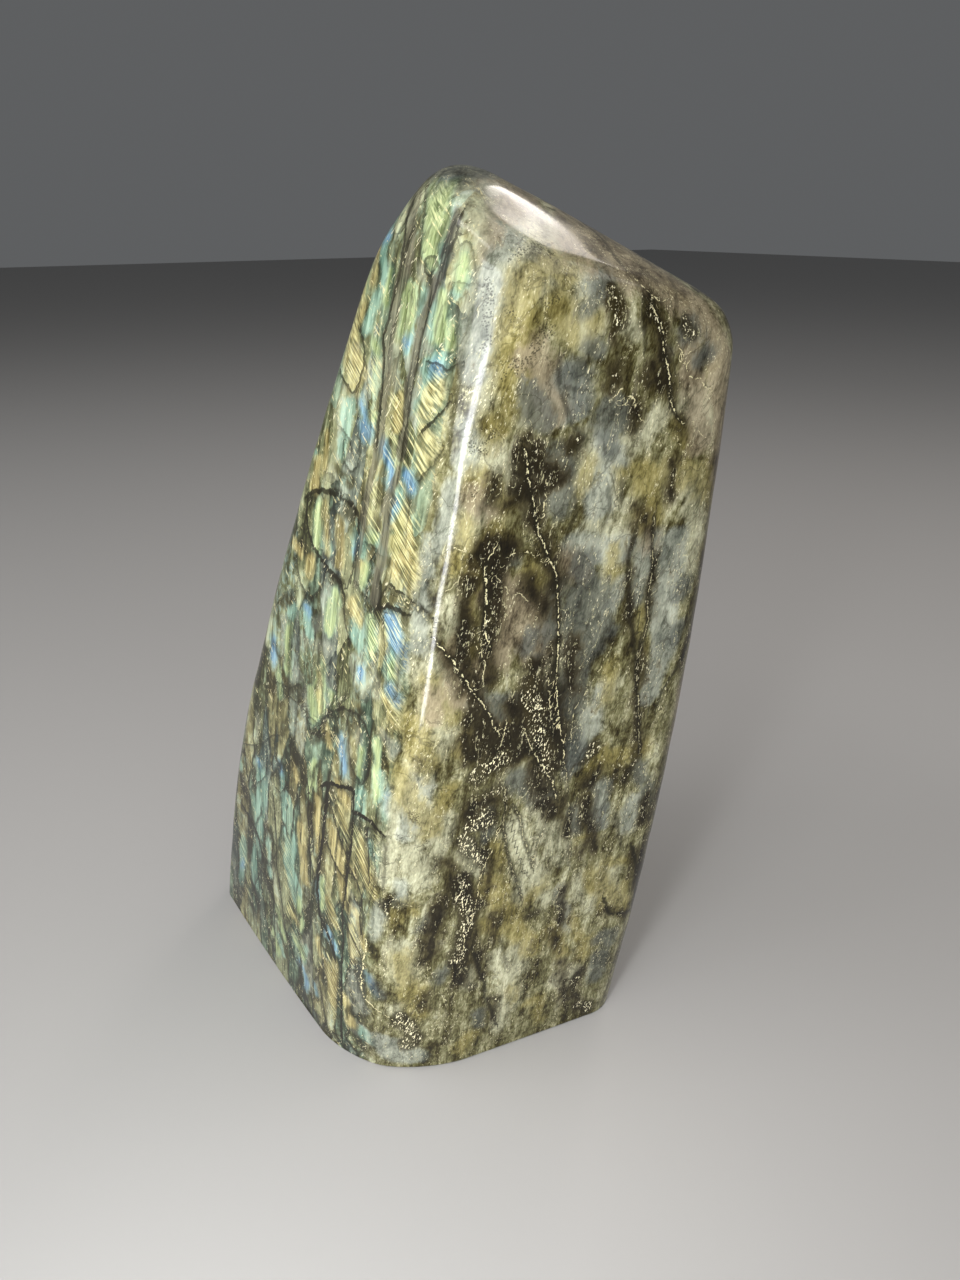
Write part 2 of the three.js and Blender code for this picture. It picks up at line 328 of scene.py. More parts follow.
SHADE = {
    FLASH_TOP: [
        (1, 455, 590, 470, 620)],
    FLASH_MIDDLE: [
        (1.5, 380, 390, 410, 420), (1.5, 160, 560, 200, 640), (1.5, 60, 850, 110, 860),
        (1.2, 300, 740, 350, 760), (2, 40, 1290, 130, 1330), (1.5, 350, 1400, 300, 1420),
        (1.2, 740, 870, 700, 860), (1, 640, 930, 690, 950), (2, 450, 1430, 400, 1460),
        (1.2, 330, 190, 400, 260)],
    FLASH_FOOT: [
        (1.5, 250, 100, 230, 160), (2, 430, 110, 450, 150), (1.2, 340, 180, 420, 180),
        (2.2, 270, 230, 300, 300), (1.5, 60, 340, 80, 420), (1.5, 440, 390, 490, 400),
        (1.3, 410, 420, 400, 560), (0.9, 390, 600, 372, 760), (1.5, 440, 430, 500, 450),
        (0.8, 600, 560, 620, 600), (1.2, 130, 860, 110, 780), (0.9, 350, 900, 380, 1000),
        (1, 330, 1290, 360, 1340), (1.5, 40, 480, 60, 520)],
    WHOLE: [
        (1.5, 392, 536, 388, 560), (1.5, 416, 480, 408, 510), (2, 384, 600, 400, 606),
        (1.5, 365, 500, 362, 540), (1.5, 280, 780, 296, 800), (1.2, 330, 780, 322, 860),
        (1.2, 302, 772, 316, 860), (1.3, 322, 872, 324, 980), (1.5, 285, 860, 300, 930),
        (1.5, 388, 450, 380, 500), (1.2, 376, 520, 372, 560), (1.8, 372, 606, 398, 622),
        (1.2, 415, 222, 409, 262), (1.1, 462, 262, 454, 298), (1.3, 352, 765, 350, 800),
        (1.4, 250, 765, 262, 790), (1.2, 390, 845, 385, 880), (1.6, 343, 602, 348, 622),
        (1.8, 395, 620, 402, 642), (1.3, 398, 548, 400, 572), (1.2, 341, 776, 341, 798),
        (1.2, 253, 776, 257, 798), (1, 421, 222, 420, 245), (1.1, 388, 832, 388, 852)]}
PALE = {
    FLASH_TOP: [
        (2, 620, 160, 610, 230), (2, 300, 1000, 295, 1150), (1.5, 420, 600, 400, 560),
        (2.5, 650, 700, 640, 950), (1.5, 110, 960, 80, 1090)],
    FLASH_MIDDLE: [
        (1.2, 395, 110, 400, 160), (1.2, 335, 270, 300, 200), (1.4, 240, 380, 240, 560),
        (3, 420, 1180, 480, 1300), (2, 60, 960, 70, 1180), (2, 160, 1050, 250, 950),
        (1.5, 760, 800, 740, 1100), (1.5, 780, 560, 770, 700), (2.5, 270, 900, 330, 860),
        (2, 510, 1180, 530, 1330)],
    FLASH_FOOT: [
        (1.4, 150, 420, 165, 560, 185, 700, 205, 820), (1.2, 140, 820, 148, 950),
        (1.4, 120, 260, 125, 330), (0.8, 175, 230, 178, 380), (1.2, 85, 120, 80, 180),
        (1.3, 130, 110, 125, 200), (1.6, 500, 820, 520, 920), (1.8, 530, 170, 545, 300),
        (1.3, 440, 660, 445, 710), (1.8, 610, 880, 590, 980), (1.2, 315, 1100, 320, 1230),
        (0.9, 365, 1150, 372, 1220), (1, 410, 1260, 415, 1340), (3, 500, 1330, 600, 1400),
        (3, 650, 1440, 760, 1470), (1.2, 330, 20, 335, 120)],
    # The wide first mark below, along the top of the front edge, is partly the rock's pale haze and
    # partly a painted glow of that edge's sheen.
    OLIVE_TOP: [
        (3.5, 110, 520, 100, 700, 60, 900), (2, 40, 1250, 20, 1450)],
    OLIVE_MIDDLE: [
        (1.5, 250, 250, 200, 560)],
    WHOLE: [
        (3, 480, 210, 500, 245), (3, 602, 280, 590, 300), (3, 665, 590, 665, 650),
        (3, 420, 790, 410, 830), (1.2, 560, 890, 568, 930), (3, 350, 1022, 385, 1045),
        (2.5, 345, 745, 350, 800), (1, 261, 780, 262, 838), (2, 366, 270, 352, 326),
        (1.5, 345, 405, 338, 440), (2, 470, 205, 452, 235), (1.6, 382, 735, 392, 750),
        (1.3, 398, 885, 400, 905), (1.8, 302, 640, 330, 650), (1.6, 285, 665, 300, 680),
        (1.8, 352, 978, 362, 1008), (3, 597, 480, 600, 508), (2.5, 606, 445, 616, 462),
        (2.5, 575, 546, 625, 548), (1.4, 641, 552, 640, 598), (3, 672, 545, 668, 600),
        (3, 668, 600, 664, 632), (1.4, 600, 690, 594, 735), (2, 584, 715, 582, 740),
        (2.5, 662, 655, 650, 695), (2, 602, 785, 600, 825), (1.8, 634, 800, 630, 826),
        (2.5, 560, 380, 572, 410), (2.6, 580, 735, 577, 762), (1.3, 655, 532, 660, 560),
        (1.4, 618, 585, 612, 610), (1.5, 650, 550, 648, 572), (1.2, 600, 280, 604, 296)]}
# Dark lines of the flash side: half width, darkness, and then the line.
LINES = {
    FLASH_TOP: [
        (0.22, 0.8, 370, 210, 325, 330, 322, 420, 306, 520, 293, 650, 276, 760, 260, 900, 243,
         1050, 230, 1150, 203, 1300, 186, 1450),
        (0.18, 0.6, 395, 560, 412, 400, 418, 260, 420, 165),
        (0.12, 0.5, 270, 1050, 290, 900, 312, 760, 330, 600),
        (0.15, 0.6, 585, 300, 548, 400, 515, 500, 495, 560),
        (0.2, 0.8, 305, 1500, 322, 1420, 352, 1280, 385, 1120, 410, 1000, 452, 860, 478, 740, 510,
         620, 540, 500, 575, 400, 610, 290),
        (0.14, 0.5, 430, 900, 405, 1000, 365, 1120, 340, 1250, 320, 1350),
        (0.15, 0.6, 560, 500, 590, 450, 620, 430, 645, 500, 665, 600),
        (0.12, 0.5, 560, 640, 620, 645, 680, 650),
        (0.15, 0.7, 425, 580, 425, 535, 455, 508, 495, 522, 500, 560, 462, 600, 425, 580),
        (0.15, 0.8, 460, 1030, 500, 1060, 530, 1075, 580, 1050),
        (0.22, 0.9, 415, 1380, 460, 1340, 500, 1290, 545, 1240),
        (0.12, 0.5, 600, 1080, 585, 1180, 560, 1320, 545, 1450),
        (0.18, 0.8, 80, 1180, 110, 1130, 140, 1050, 142, 960, 130, 880),
        (0.18, 0.8, 0, 1070, 30, 1140, 65, 1195, 85, 1180),
        (0.12, 0.6, 145, 1050, 150, 1200, 155, 1300, 150, 1400),
        (0.12, 0.5, 285, 300, 290, 420, 275, 560, 262, 700),
        (0.1, 0.3, 200, 480, 210, 600, 200, 700), (0.09, 0.5, 350, 700, 352, 860),
        (0.09, 0.5, 375, 650, 370, 850), (0.09, 0.4, 395, 690, 390, 880),
        (0.09, 0.4, 530, 690, 525, 930), (0.09, 0.4, 565, 690, 560, 900),
        (0.12, 0.6, 590, 760, 575, 960), (0.15, 0.6, 0, 1360, 40, 1420, 60, 1500),
        (0.1, 0.4, 100, 660, 110, 740, 130, 800),
        (0.12, 0.5, 85, 1210, 90, 1300, 100, 1400, 90, 1480)],
    FLASH_MIDDLE: [
        (0.35, 0.9, 180, 325, 210, 310, 260, 300, 300, 312, 330, 330, 370, 345, 410, 380, 432, 430,
         436, 500),
        (0.3, 0.9, 185, 340, 178, 420, 185, 500, 215, 590, 250, 650, 290, 700, 330, 740, 350, 770,
         368, 820), (0.1, 0.4, 335, 340, 338, 420, 345, 520, 350, 620, 340, 700),
        (0.15, 0.5, 100, 500, 140, 490, 175, 520),
        (0.2, 0.7, 130, 640, 140, 720, 160, 790, 195, 850, 235, 810, 262, 770, 270, 720),
        (0.12, 0.5, 60, 820, 110, 800, 130, 770), (0.15, 0.5, 10, 900, 40, 860, 90, 830, 130, 800),
        (0.2, 0.7, 370, 830, 362, 900, 372, 980, 388, 1050),
        (0.2, 0.8, 440, 560, 420, 650, 400, 730, 385, 790),
        (0.15, 0.6, 430, 770, 450, 810, 480, 840), (0.15, 0.6, 480, 560, 510, 580, 530, 610),
        (0.09, 0.5, 690, 290, 690, 400, 680, 500, 675, 580),
        (0.15, 0.7, 740, 245, 780, 210, 815, 170, 845, 115),
        (0.12, 0.5, 822, 280, 835, 380, 832, 470),
        (0.2, 0.9, 600, 780, 640, 810, 690, 850, 740, 890, 790, 930),
        (0.18, 0.7, 590, 775, 560, 820, 540, 870, 500, 905),
        (0.25, 0.9, 490, 905, 540, 882, 600, 885, 640, 900, 690, 930),
        (0.1, 0.7, 570, 930, 568, 1050, 572, 1150, 575, 1260),
        (0.1, 0.7, 665, 1090, 645, 1200, 622, 1330, 615, 1360),
        (0.1, 0.5, 490, 920, 485, 1010, 490, 1100, 500, 1180),
        (0.1, 0.5, 100, 980, 105, 1080, 100, 1180, 105, 1260),
        (0.09, 0.4, 130, 1000, 135, 1100, 130, 1200),
        (0.15, 0.6, 160, 1270, 165, 1360, 190, 1430, 225, 1465),
        (0.15, 0.6, 335, 1240, 325, 1330, 290, 1400, 250, 1450),
        (0.09, 0.4, 220, 1180, 225, 1300, 235, 1430), (0.09, 0.4, 265, 1200, 262, 1400),
        (0.09, 0.3, 190, 1220, 195, 1380), (0.2, 0.7, 380, 1330, 340, 1370, 300, 1390, 270, 1440),
        (0.12, 0.6, 0, 1250, 40, 1270, 90, 1290, 140, 1270),
        (0.15, 0.6, 60, 1310, 100, 1340, 140, 1380, 160, 1430),
        (0.12, 0.4, 450, 1120, 420, 1230, 395, 1330), (0.1, 0.4, 530, 1180, 545, 1280, 560, 1380),
        (0.15, 0.7, 360, 60, 362, 150, 380, 190, 400, 212, 430, 180, 442, 120, 440, 50),
        (0.12, 0.5, 270, 210, 310, 230, 350, 290, 400, 360, 425, 400),
        (0.12, 0.4, 200, 150, 205, 230, 190, 300)],
    FLASH_FOOT: [
        (0.25, 0.9, 370, 160, 395, 110, 430, 85, 470, 75),
        (0.2, 0.8, 480, 80, 530, 100, 562, 150, 575, 220, 578, 300, 565, 350, 545, 372),
        (0.15, 0.6, 490, 130, 492, 220, 500, 310, 530, 360),
        (0.2, 0.8, 300, 50, 320, 110, 340, 165, 380, 185, 400, 170),
        (0.15, 0.7, 70, 215, 110, 225, 150, 210, 185, 180, 220, 185),
        (0.15, 0.7, 92, 240, 88, 300, 100, 350, 130, 372, 160, 345, 165, 280),
        (0.15, 0.7, 190, 230, 188, 320, 195, 385, 220, 415, 245, 380, 250, 320),
        (0.1, 0.5, 100, 90, 115, 140, 108, 200), (0.1, 0.4, 155, 90, 160, 160, 150, 210),
        (0.15, 0.6, 40, 330, 60, 380, 95, 400, 110, 380),
        (0.3, 0.95, 65, 460, 95, 510, 125, 570, 145, 650, 152, 700),
        (0.23, 0.75, 152, 700, 125, 760, 105, 820, 110, 900),
        (0.23, 0.85, 190, 420, 200, 560, 205, 700, 225, 850, 240, 960, 270, 1060, 300, 1130),
        (0.19, 0.75, 150, 700, 175, 800, 210, 880),
        (0.19, 0.95, 330, 380, 332, 500, 335, 620, 338, 760),
        (0.17, 0.85, 350, 400, 348, 520, 350, 640),
        (0.3, 1, 380, 385, 410, 370, 450, 385, 500, 395, 512, 410),
        (0.4, 1, 408, 390, 400, 480, 388, 590, 372, 700, 366, 800, 375, 900, 400, 960, 430, 1040,
         440, 1080),
        (0.23, 1, 512, 410, 510, 500, 505, 600, 490, 700, 476, 800, 465, 900, 470, 1000, 466, 1100,
         462, 1250, 462, 1400), (0.3, 1, 515, 490, 550, 510, 590, 540, 635, 590),
        (0.17, 0.85, 565, 560, 570, 660, 572, 780),
        (0.19, 0.85, 480, 780, 468, 880, 480, 940, 515, 1010, 540, 1060),
        (0.19, 0.85, 520, 760, 540, 820, 547, 900, 540, 980),
        (0.23, 0.85, 400, 600, 430, 680, 460, 740, 475, 760),
        (0.23, 0.85, 432, 500, 450, 580, 480, 660, 505, 740),
        (0.19, 0.65, 585, 600, 600, 700, 590, 800, 560, 900, 545, 1000),
        (0.17, 0.75, 335, 800, 340, 950, 345, 1060),
        (0.23, 0.75, 350, 1080, 380, 1180, 395, 1290, 400, 1340),
        (0.23, 0.75, 290, 1080, 310, 1180, 335, 1270),
        (0.19, 0.65, 240, 900, 280, 980, 320, 1060, 330, 1100),
        (0.19, 0.65, 640, 600, 640, 700, 625, 800)]}
# Cracks of the olive side: half width, lightness of the thread, darkness of the lip, the line.
CRACKS = {
    OLIVE_TOP: [
        (0.15, 0.9, 0.3, 840, 450, 835, 500, 828, 540),
        (0.12, 0.9, 0.3, 870, 490, 905, 530, 960, 580, 1000, 600, 1020, 605),
        (0.2, 0.9, 0.9, 960, 600, 965, 660, 990, 700, 1010, 760, 1020, 850, 1040, 940, 1050, 1000,
         1055, 1060, 1065, 1130, 1085, 1180, 1110, 1210),
        (0.1, 0, 0.7, 915, 560, 915, 680, 920, 790, 925, 850),
        (0.12, 0.9, 0.1, 1080, 820, 1100, 850, 1130, 880, 1165, 850),
        (0.12, 0.9, 0.1, 1100, 900, 1120, 920, 1140, 880),
        (0.14, 0.9, 0.1, 1135, 930, 1150, 980, 1180, 1000, 1210, 990, 1220, 1030, 1250, 1045),
        (0.12, 0.9, 0.1, 780, 1080, 810, 1040, 830, 1060, 850, 1080, 870, 1110, 880, 1150, 910,
         1200), (0.12, 0.8, 0.1, 810, 1120, 850, 1125, 880, 1115),
        (0.1, 0.7, 0.1, 1180, 1210, 1200, 1260, 1230, 1290),
        (0.1, 0.6, 0.2, 1090, 1290, 1100, 1330, 1120, 1360), (0.1, 0.7, 0.3, 430, 1520, 435, 1600),
        (0.12, 0, 0.6, 490, 880, 480, 960, 500, 1060, 530, 1150, 570, 1230, 620, 1290),
        (0.1, 0, 0.5, 500, 1050, 560, 1040, 620, 1050), (0.1, 0, 0.4, 540, 870, 600, 920, 680, 910),
        (0.12, 0, 0.4, 700, 380, 740, 450), (0.1, 0, 0.4, 650, 340, 720, 350),
        (0.2, 0, 0.6, 590, 180, 680, 260, 750, 340, 800, 400, 840, 450),
        (0.1, 0, 0.4, 1060, 500, 1080, 600, 1075, 700, 1060, 760)],
    OLIVE_MIDDLE: [
        (0.18, 0.9, 1, 620, 50, 635, 120, 632, 200, 650, 240, 665, 300, 680, 370, 690, 430, 705,
         480, 730, 530, 750, 590, 770, 640, 785, 700, 795, 760, 797, 850, 797, 950, 797, 1050, 788,
         1130, 785, 1200, 785, 1280, 790, 1370, 800, 1450, 815, 1530, 820, 1600),
        (0.12, 0.8, 0.3, 735, 200, 730, 260, 725, 330, 715, 380, 700, 420),
        (0.2, 0.9, 1, 480, 540, 440, 600, 425, 650, 430, 720, 440, 780, 430, 850, 415, 920, 425,
         960, 435, 1010, 450, 1050), (0.15, 0.8, 0.5, 370, 1000, 400, 1060, 425, 1130, 420, 1210),
        (0.18, 0.9, 0.9, 170, 1000, 215, 1050, 260, 1100, 300, 1170, 345, 1240, 385, 1290, 420,
         1330, 440, 1370, 470, 1430, 510, 1490), (0.15, 0.9, 0.3, 530, 1410, 525, 1470, 505, 1520),
        (0.15, 0.9, 0.6, 620, 1460, 640, 1510, 660, 1550, 690, 1590),
        (0.14, 0.8, 0.5, 735, 1160, 740, 1240, 745, 1320, 765, 1400, 790, 1460),
        (0.1, 0.7, 0.3, 480, 700, 520, 730, 550, 770, 600, 780, 630, 800),
        (0.12, 0.8, 0.3, 560, 575, 620, 560, 660, 570, 690, 600, 720, 625),
        (0.12, 0.5, 0.9, 1280, 380, 1265, 460, 1270, 540, 1265, 620, 1260, 700, 1245, 800, 1240,
         900, 1215, 1000, 1200, 1080, 1180, 1150, 1185, 1220, 1190, 1300, 1195, 1400, 1190, 1480,
         1205, 1560),
        (0.12, 0, 0.7, 1195, 420, 1170, 500, 1150, 600, 1145, 700, 1150, 850, 1160, 950, 1175,
         1050, 1185, 1130),
        (0.16, 0.8, 0.2, 1060, 1030, 1030, 1090, 1000, 1150, 960, 1210, 920, 1280, 880, 1340, 865,
         1400, 860, 1480), (0.1, 0.7, 0.1, 1060, 800, 1040, 880, 1000, 930, 990, 960),
        (0.12, 0, 0.5, 880, 280, 885, 380, 850, 440, 840, 480),
        (0.12, 0, 0.5, 1040, 240, 1050, 360, 1020, 430), (0.1, 0, 0.5, 1110, 200, 1115, 300),
        (0.15, 0, 0.7, 1540, 480, 1530, 600, 1510, 760, 1480, 900, 1430, 1040, 1380, 1150, 1320,
         1250, 1290, 1330), (0.12, 0.8, 0.3, 230, 560, 240, 545, 280, 540, 320, 560),
        (0.1, 0.5, 0.3, 230, 760, 260, 740, 290, 710, 300, 680, 320, 640),
        (0.1, 0.6, 0.4, 0, 780, 60, 830, 110, 880, 130, 900)],
    OLIVE_FOOT: [
        (0.12, 0.6, 0.6, 1020, 80, 1030, 180, 1040, 260, 1050, 340, 1050, 440, 1045, 560, 1050,
         620), (0.18, 0.9, 0.8, 850, 30, 885, 80, 910, 120, 935, 170, 960, 230, 980, 285),
        (0.12, 0.5, 0.8, 730, 250, 730, 330, 715, 420, 740, 540, 760, 640, 790, 720, 805, 800),
        (0.14, 0.6, 0.8, 770, 340, 800, 400, 820, 480, 850, 570, 870, 630),
        (0.1, 0.5, 0.4, 940, 410, 900, 490, 880, 560, 870, 620),
        (0.16, 0.9, 0.4, 690, 450, 660, 560, 620, 640, 600, 700, 580, 800, 560, 900, 530, 1000,
         510, 1090), (0.12, 0.6, 0.3, 1340, 220, 1310, 280, 1290, 340, 1200, 440),
        (0.1, 0.8, 0.1, 1460, 400, 1430, 450, 1390, 500),
        (0.2, 0, 0.9, 1360, 540, 1380, 620, 1385, 720, 1370, 800),
        (0.2, 0, 0.9, 1220, 800, 1240, 870, 1300, 865, 1340, 860),
        (0.15, 0.9, 0.2, 30, 1010, 15, 1090, 5, 1180, 0, 1240, 20, 1290, 60, 1340, 120, 1380, 180,
         1410, 230, 1430), (0.12, 0.5, 0.4, 200, 820, 260, 840, 320, 825, 350, 800, 380, 780),
        (0.2, 0, 0.8, 580, 1080, 600, 1160, 620, 1220, 630, 1290, 660, 1360, 680, 1420),
        (0.1, 0, 0.5, 700, 1000, 720, 1080, 740, 1120),
        (0.15, 0, 0.6, 1190, 260, 1180, 340, 1150, 420),
        (0.12, 0, 0.5, 1280, 350, 1290, 450, 1310, 540)]}
DARK = {
    OLIVE_TOP: [
        (1.6, 760, 570, 790, 640, 790, 720), (0.8, 770, 740, 775, 800),
        (1.5, 750, 940, 790, 980, 740, 1030), (1.6, 940, 570, 940, 700),
        (2, 990, 700, 1000, 800, 1010, 900), (2, 960, 960, 1020, 1000),
        (0.8, 1050, 1040, 1060, 1120), (1, 1100, 1200, 1120, 1280), (1, 870, 1150, 890, 1220),
        (1.5, 320, 1330, 330, 1450), (1.2, 370, 1450, 380, 1600), (2, 430, 1450, 500, 1500),
        (2.5, 300, 1540, 400, 1570), (1.2, 560, 1330, 600, 1330)],
    OLIVE_MIDDLE: [
        (1.5, 620, 60, 610, 150), (2.2, 680, 60, 680, 160), (2, 560, 310, 620, 260, 650, 320),
        (1, 640, 330, 690, 400), (1.2, 720, 470, 740, 560), (1.5, 760, 620, 770, 740),
        (1.8, 440, 560, 480, 540), (1, 430, 640, 420, 720, 420, 800), (1, 480, 680, 500, 700),
        (0.8, 770, 820, 790, 880), (2, 680, 1130, 650, 1250, 620, 1330),
        (3, 380, 1390, 420, 1440, 480, 1470), (2.5, 560, 1340, 600, 1440, 560, 1520),
        (3.2, 660, 1330, 700, 1420, 740, 1500), (3, 500, 1560, 600, 1560),
        (2.5, 760, 1380, 780, 1500), (1, 1180, 1120, 1185, 1240, 1190, 1400),
        (1.2, 1200, 1450, 1200, 1550), (1.2, 880, 1270, 860, 1250), (1, 240, 1080, 300, 1180),
        (1.3, 380, 1250, 400, 1300)],
    OLIVE_FOOT: [
        (2.5, 540, 10, 560, 80), (2.5, 680, 30, 740, 100), (3, 900, 40, 960, 100),
        (2.5, 800, 80, 860, 60), (2, 930, 330, 970, 350), (2.2, 540, 380, 600, 330, 680, 300),
        (1, 1010, 280, 1030, 480), (1.3, 420, 590, 470, 640), (2, 470, 740, 540, 760, 590, 830),
        (1.8, 380, 960, 340, 1040), (1.3, 590, 1090, 610, 1180), (0.9, 650, 1300, 670, 1380),
        (1.5, 1190, 180, 1140, 220), (1.3, 1160, 420, 1170, 480, 1110, 560),
        (1.3, 1430, 300, 1420, 400), (1, 1370, 560, 1375, 760), (0.9, 1230, 860, 1330, 865),
        (1.3, 1100, 1160, 1060, 1260, 1100, 1330), (1, 330, 1280, 330, 1340),
        (1.2, 960, 960, 980, 1050)],
    WHOLE: [
        (3, 486, 552, 506, 548), (1.8, 466, 585, 461, 640, 467, 690),
        (3, 486, 728, 520, 745, 548, 738), (2.5, 552, 690, 557, 732), (2, 535, 760, 545, 790),
        (1.8, 530, 582, 545, 612), (1, 636, 505, 650, 530), (1.8, 462, 880, 470, 930, 462, 980),
        (1.5, 585, 800, 595, 850), (1.2, 640, 850, 636, 900), (2, 436, 905, 430, 960),
        (1.5, 560, 960, 566, 1000), (1.2, 655, 300, 664, 380), (2.2, 494, 560, 490, 620),
        (3, 535, 692, 543, 765), (1.5, 574, 640, 570, 690), (0.8, 641, 648, 638, 748),
        (0.6, 653, 556, 650, 620), (0.5, 632, 524, 630, 600, 634, 650),
        (0.5, 706, 540, 700, 600, 680, 665), (0.9, 676, 462, 670, 500), (1.8, 492, 620, 488, 685),
        (1.8, 536, 725, 538, 765), (1.8, 538, 712, 534, 745), (1.3, 556, 640, 554, 675),
        (1.3, 564, 890, 562, 925), (1.1, 494, 915, 492, 940), (1, 489, 865, 488, 890),
        (1.1, 494, 478, 492, 502)]}
CREAM = {
    OLIVE_TOP: [
        (2, 600, 480, 700, 490, 740, 520), (1.8, 640, 560, 700, 600), (3, 130, 420, 130, 700),
        (2, 400, 1100, 360, 1180), (2.5, 830, 1330, 760, 1380), (2.5, 700, 1500, 740, 1580),
        (2.2, 930, 1270, 1000, 1180), (3, 90, 1400, 200, 1440), (2, 560, 720, 640, 760),
        (1.5, 880, 760, 850, 720), (3, 1240, 1230, 1160, 1120), (2.5, 230, 450, 250, 560)],
    OLIVE_MIDDLE: [
        (3, 380, 60, 500, 130, 520, 200), (3, 380, 380, 450, 330), (2.5, 330, 440, 300, 500),
        (3, 960, 100, 1050, 60), (2, 1010, 290, 1000, 340), (1.5, 1060, 300, 1100, 330),
        (2, 940, 170, 980, 220), (2.2, 1080, 540, 960, 520, 900, 560), (2, 250, 860, 260, 960),
        (2, 1350, 180, 1390, 230), (3.5, 150, 1180, 220, 1250, 180, 1400),
        (2, 1220, 540, 1200, 700), (2, 1340, 800, 1300, 900), (1.5, 1450, 640, 1480, 520),
        (3, 1040, 1250, 960, 1350, 920, 1450)],
    OLIVE_FOOT: [
        (3.2, 285, 200, 290, 350), (3.5, 330, 440, 250, 420), (3, 240, 560, 300, 680),
        (2, 960, 430, 960, 560), (2, 760, 440, 800, 560, 860, 680), (2.5, 780, 1060, 790, 1150),
        (1.5, 690, 1070, 700, 1130), (1.5, 1110, 680, 1090, 800), (2, 1200, 680, 1280, 640),
        (1.5, 1180, 780, 1160, 830), (2.5, 200, 1100, 240, 1160), (1.8, 210, 1330, 180, 1360),
        (1.5, 1340, 460, 1310, 390), (3, 1050, 1180, 1000, 1200), (2, 720, 1330, 700, 1420),
        (1.2, 560, 1150, 540, 1230)],
    WHOLE: [
        # The wide cream across the top bevel and the cream down the lower front edge is partly the
        # rock's colour and partly a painted highlight.
        (4.5, 500, 238, 560, 256), (3.5, 552, 228, 592, 258), (2.5, 600, 870, 620, 900),
        (2.5, 560, 640, 552, 700), (2.5, 394, 800, 388, 880), (3, 400, 950, 404, 978),
        (2, 446, 822, 440, 850), (2, 690, 480, 698, 560), (3, 505, 250, 530, 244, 556, 246),
        (3.5, 405, 790, 425, 840), (2, 530, 860, 545, 900), (2, 505, 960, 515, 1000),
        (2.2, 590, 440, 600, 480), (3, 530, 262, 548, 276), (2, 700, 480, 692, 560),
        (2, 590, 530, 652, 543), (1.8, 562, 250, 582, 256), (2, 505, 262, 520, 300),
        (2.5, 478, 262, 470, 330), (1.5, 448, 728, 455, 745), (1.8, 465, 850, 478, 875),
        (1.3, 556, 835, 560, 865), (2.3, 532, 264, 552, 280), (1.3, 492, 330, 484, 400),
        (1.5, 538, 800, 542, 838), (1.8, 438, 738, 440, 758), (1.5, 520, 878, 520, 900),
        (1.8, 532, 255, 534, 272), (1.2, 455, 620, 453, 642)]}
STAIN = {
    OLIVE_TOP: [
        (2.5, 420, 420, 520, 430), (2.5, 340, 560, 330, 680), (2.5, 330, 700, 230, 920),
        (2.5, 250, 1030, 280, 1120), (2, 150, 1230, 180, 1290), (2, 540, 480, 580, 420),
        (2, 900, 1430, 1000, 1480, 1150, 1490, 1270, 1440), (2, 1220, 1560, 1290, 1500),
        (1.5, 620, 1500, 640, 1440), (1.2, 1090, 1210, 1120, 1330), (1, 1270, 930, 1230, 940),
        (1, 1120, 600, 1060, 560), (2, 80, 1500, 100, 1560)],
    OLIVE_MIDDLE: [
        (2, 370, 220, 380, 280), (2.5, 290, 560, 310, 640), (1.8, 400, 580, 360, 660),
        (2, 480, 260, 520, 340), (2, 470, 480, 450, 520), (1.2, 360, 780, 340, 920),
        (1.5, 290, 1050, 380, 1090), (1.3, 960, 180, 900, 260), (2, 1200, 160, 1260, 250),
        (2.2, 1350, 150, 1480, 180, 1560, 180), (2, 1500, 250, 1560, 280),
        (1.5, 1210, 380, 1190, 450), (1.3, 1250, 300, 1280, 400), (1, 1100, 200, 1090, 170),
        (1, 1230, 860, 1200, 960), (0.8, 1230, 1020, 1210, 1080), (1.2, 1530, 520, 1520, 560),
        (2, 200, 1290, 250, 1400), (2, 330, 1500, 300, 1560), (1.5, 640, 640, 690, 700),
        (0.8, 870, 1390, 850, 1470)],
    OLIVE_FOOT: [
        (2, 400, 350, 450, 250), (1.2, 220, 830, 260, 850), (1.2, 160, 920, 180, 880),
        (3, 640, 720, 700, 800, 760, 920), (2, 860, 790, 900, 740), (2, 620, 930, 700, 960),
        (1.8, 1150, 150, 1260, 100, 1380, 90), (1.8, 1150, 660, 1160, 740),
        (1.6, 1220, 620, 1330, 600), (1.6, 1320, 720, 1330, 840), (1.3, 1230, 830, 1200, 760),
        (1.5, 1130, 1000, 1110, 1090), (1.3, 1060, 900, 1080, 1000), (1.8, 950, 950, 1010, 1060),
        (1.3, 820, 1330, 890, 1300, 900, 1400), (2, 510, 1540, 560, 1480),
        (1, 760, 1230, 770, 1300), (1.5, 290, 1260, 300, 1380), (1.3, 680, 530, 690, 620),
        (1.3, 1110, 500, 1140, 470)],
    WHOLE: [
        (3.5, 530, 280, 515, 330), (2.5, 590, 760, 640, 750), (3, 398, 780, 430, 830),
        (2.5, 400, 960, 412, 1010), (2.5, 520, 385, 548, 420), (2, 572, 246, 600, 258),
        (2, 556, 296, 566, 330), (2.5, 500, 900, 530, 950), (2.5, 600, 880, 622, 905),
        (1.8, 690, 470, 712, 490), (1.5, 656, 500, 650, 520), (3, 416, 728, 426, 765),
        (1.8, 575, 305, 572, 335), (2.3, 432, 682, 434, 715), (1.5, 612, 665, 608, 700),
        (1.6, 594, 312, 592, 342), (1.5, 532, 345, 530, 370), (1.3, 614, 550, 612, 580),
        (1.5, 467, 522, 465, 545)]}
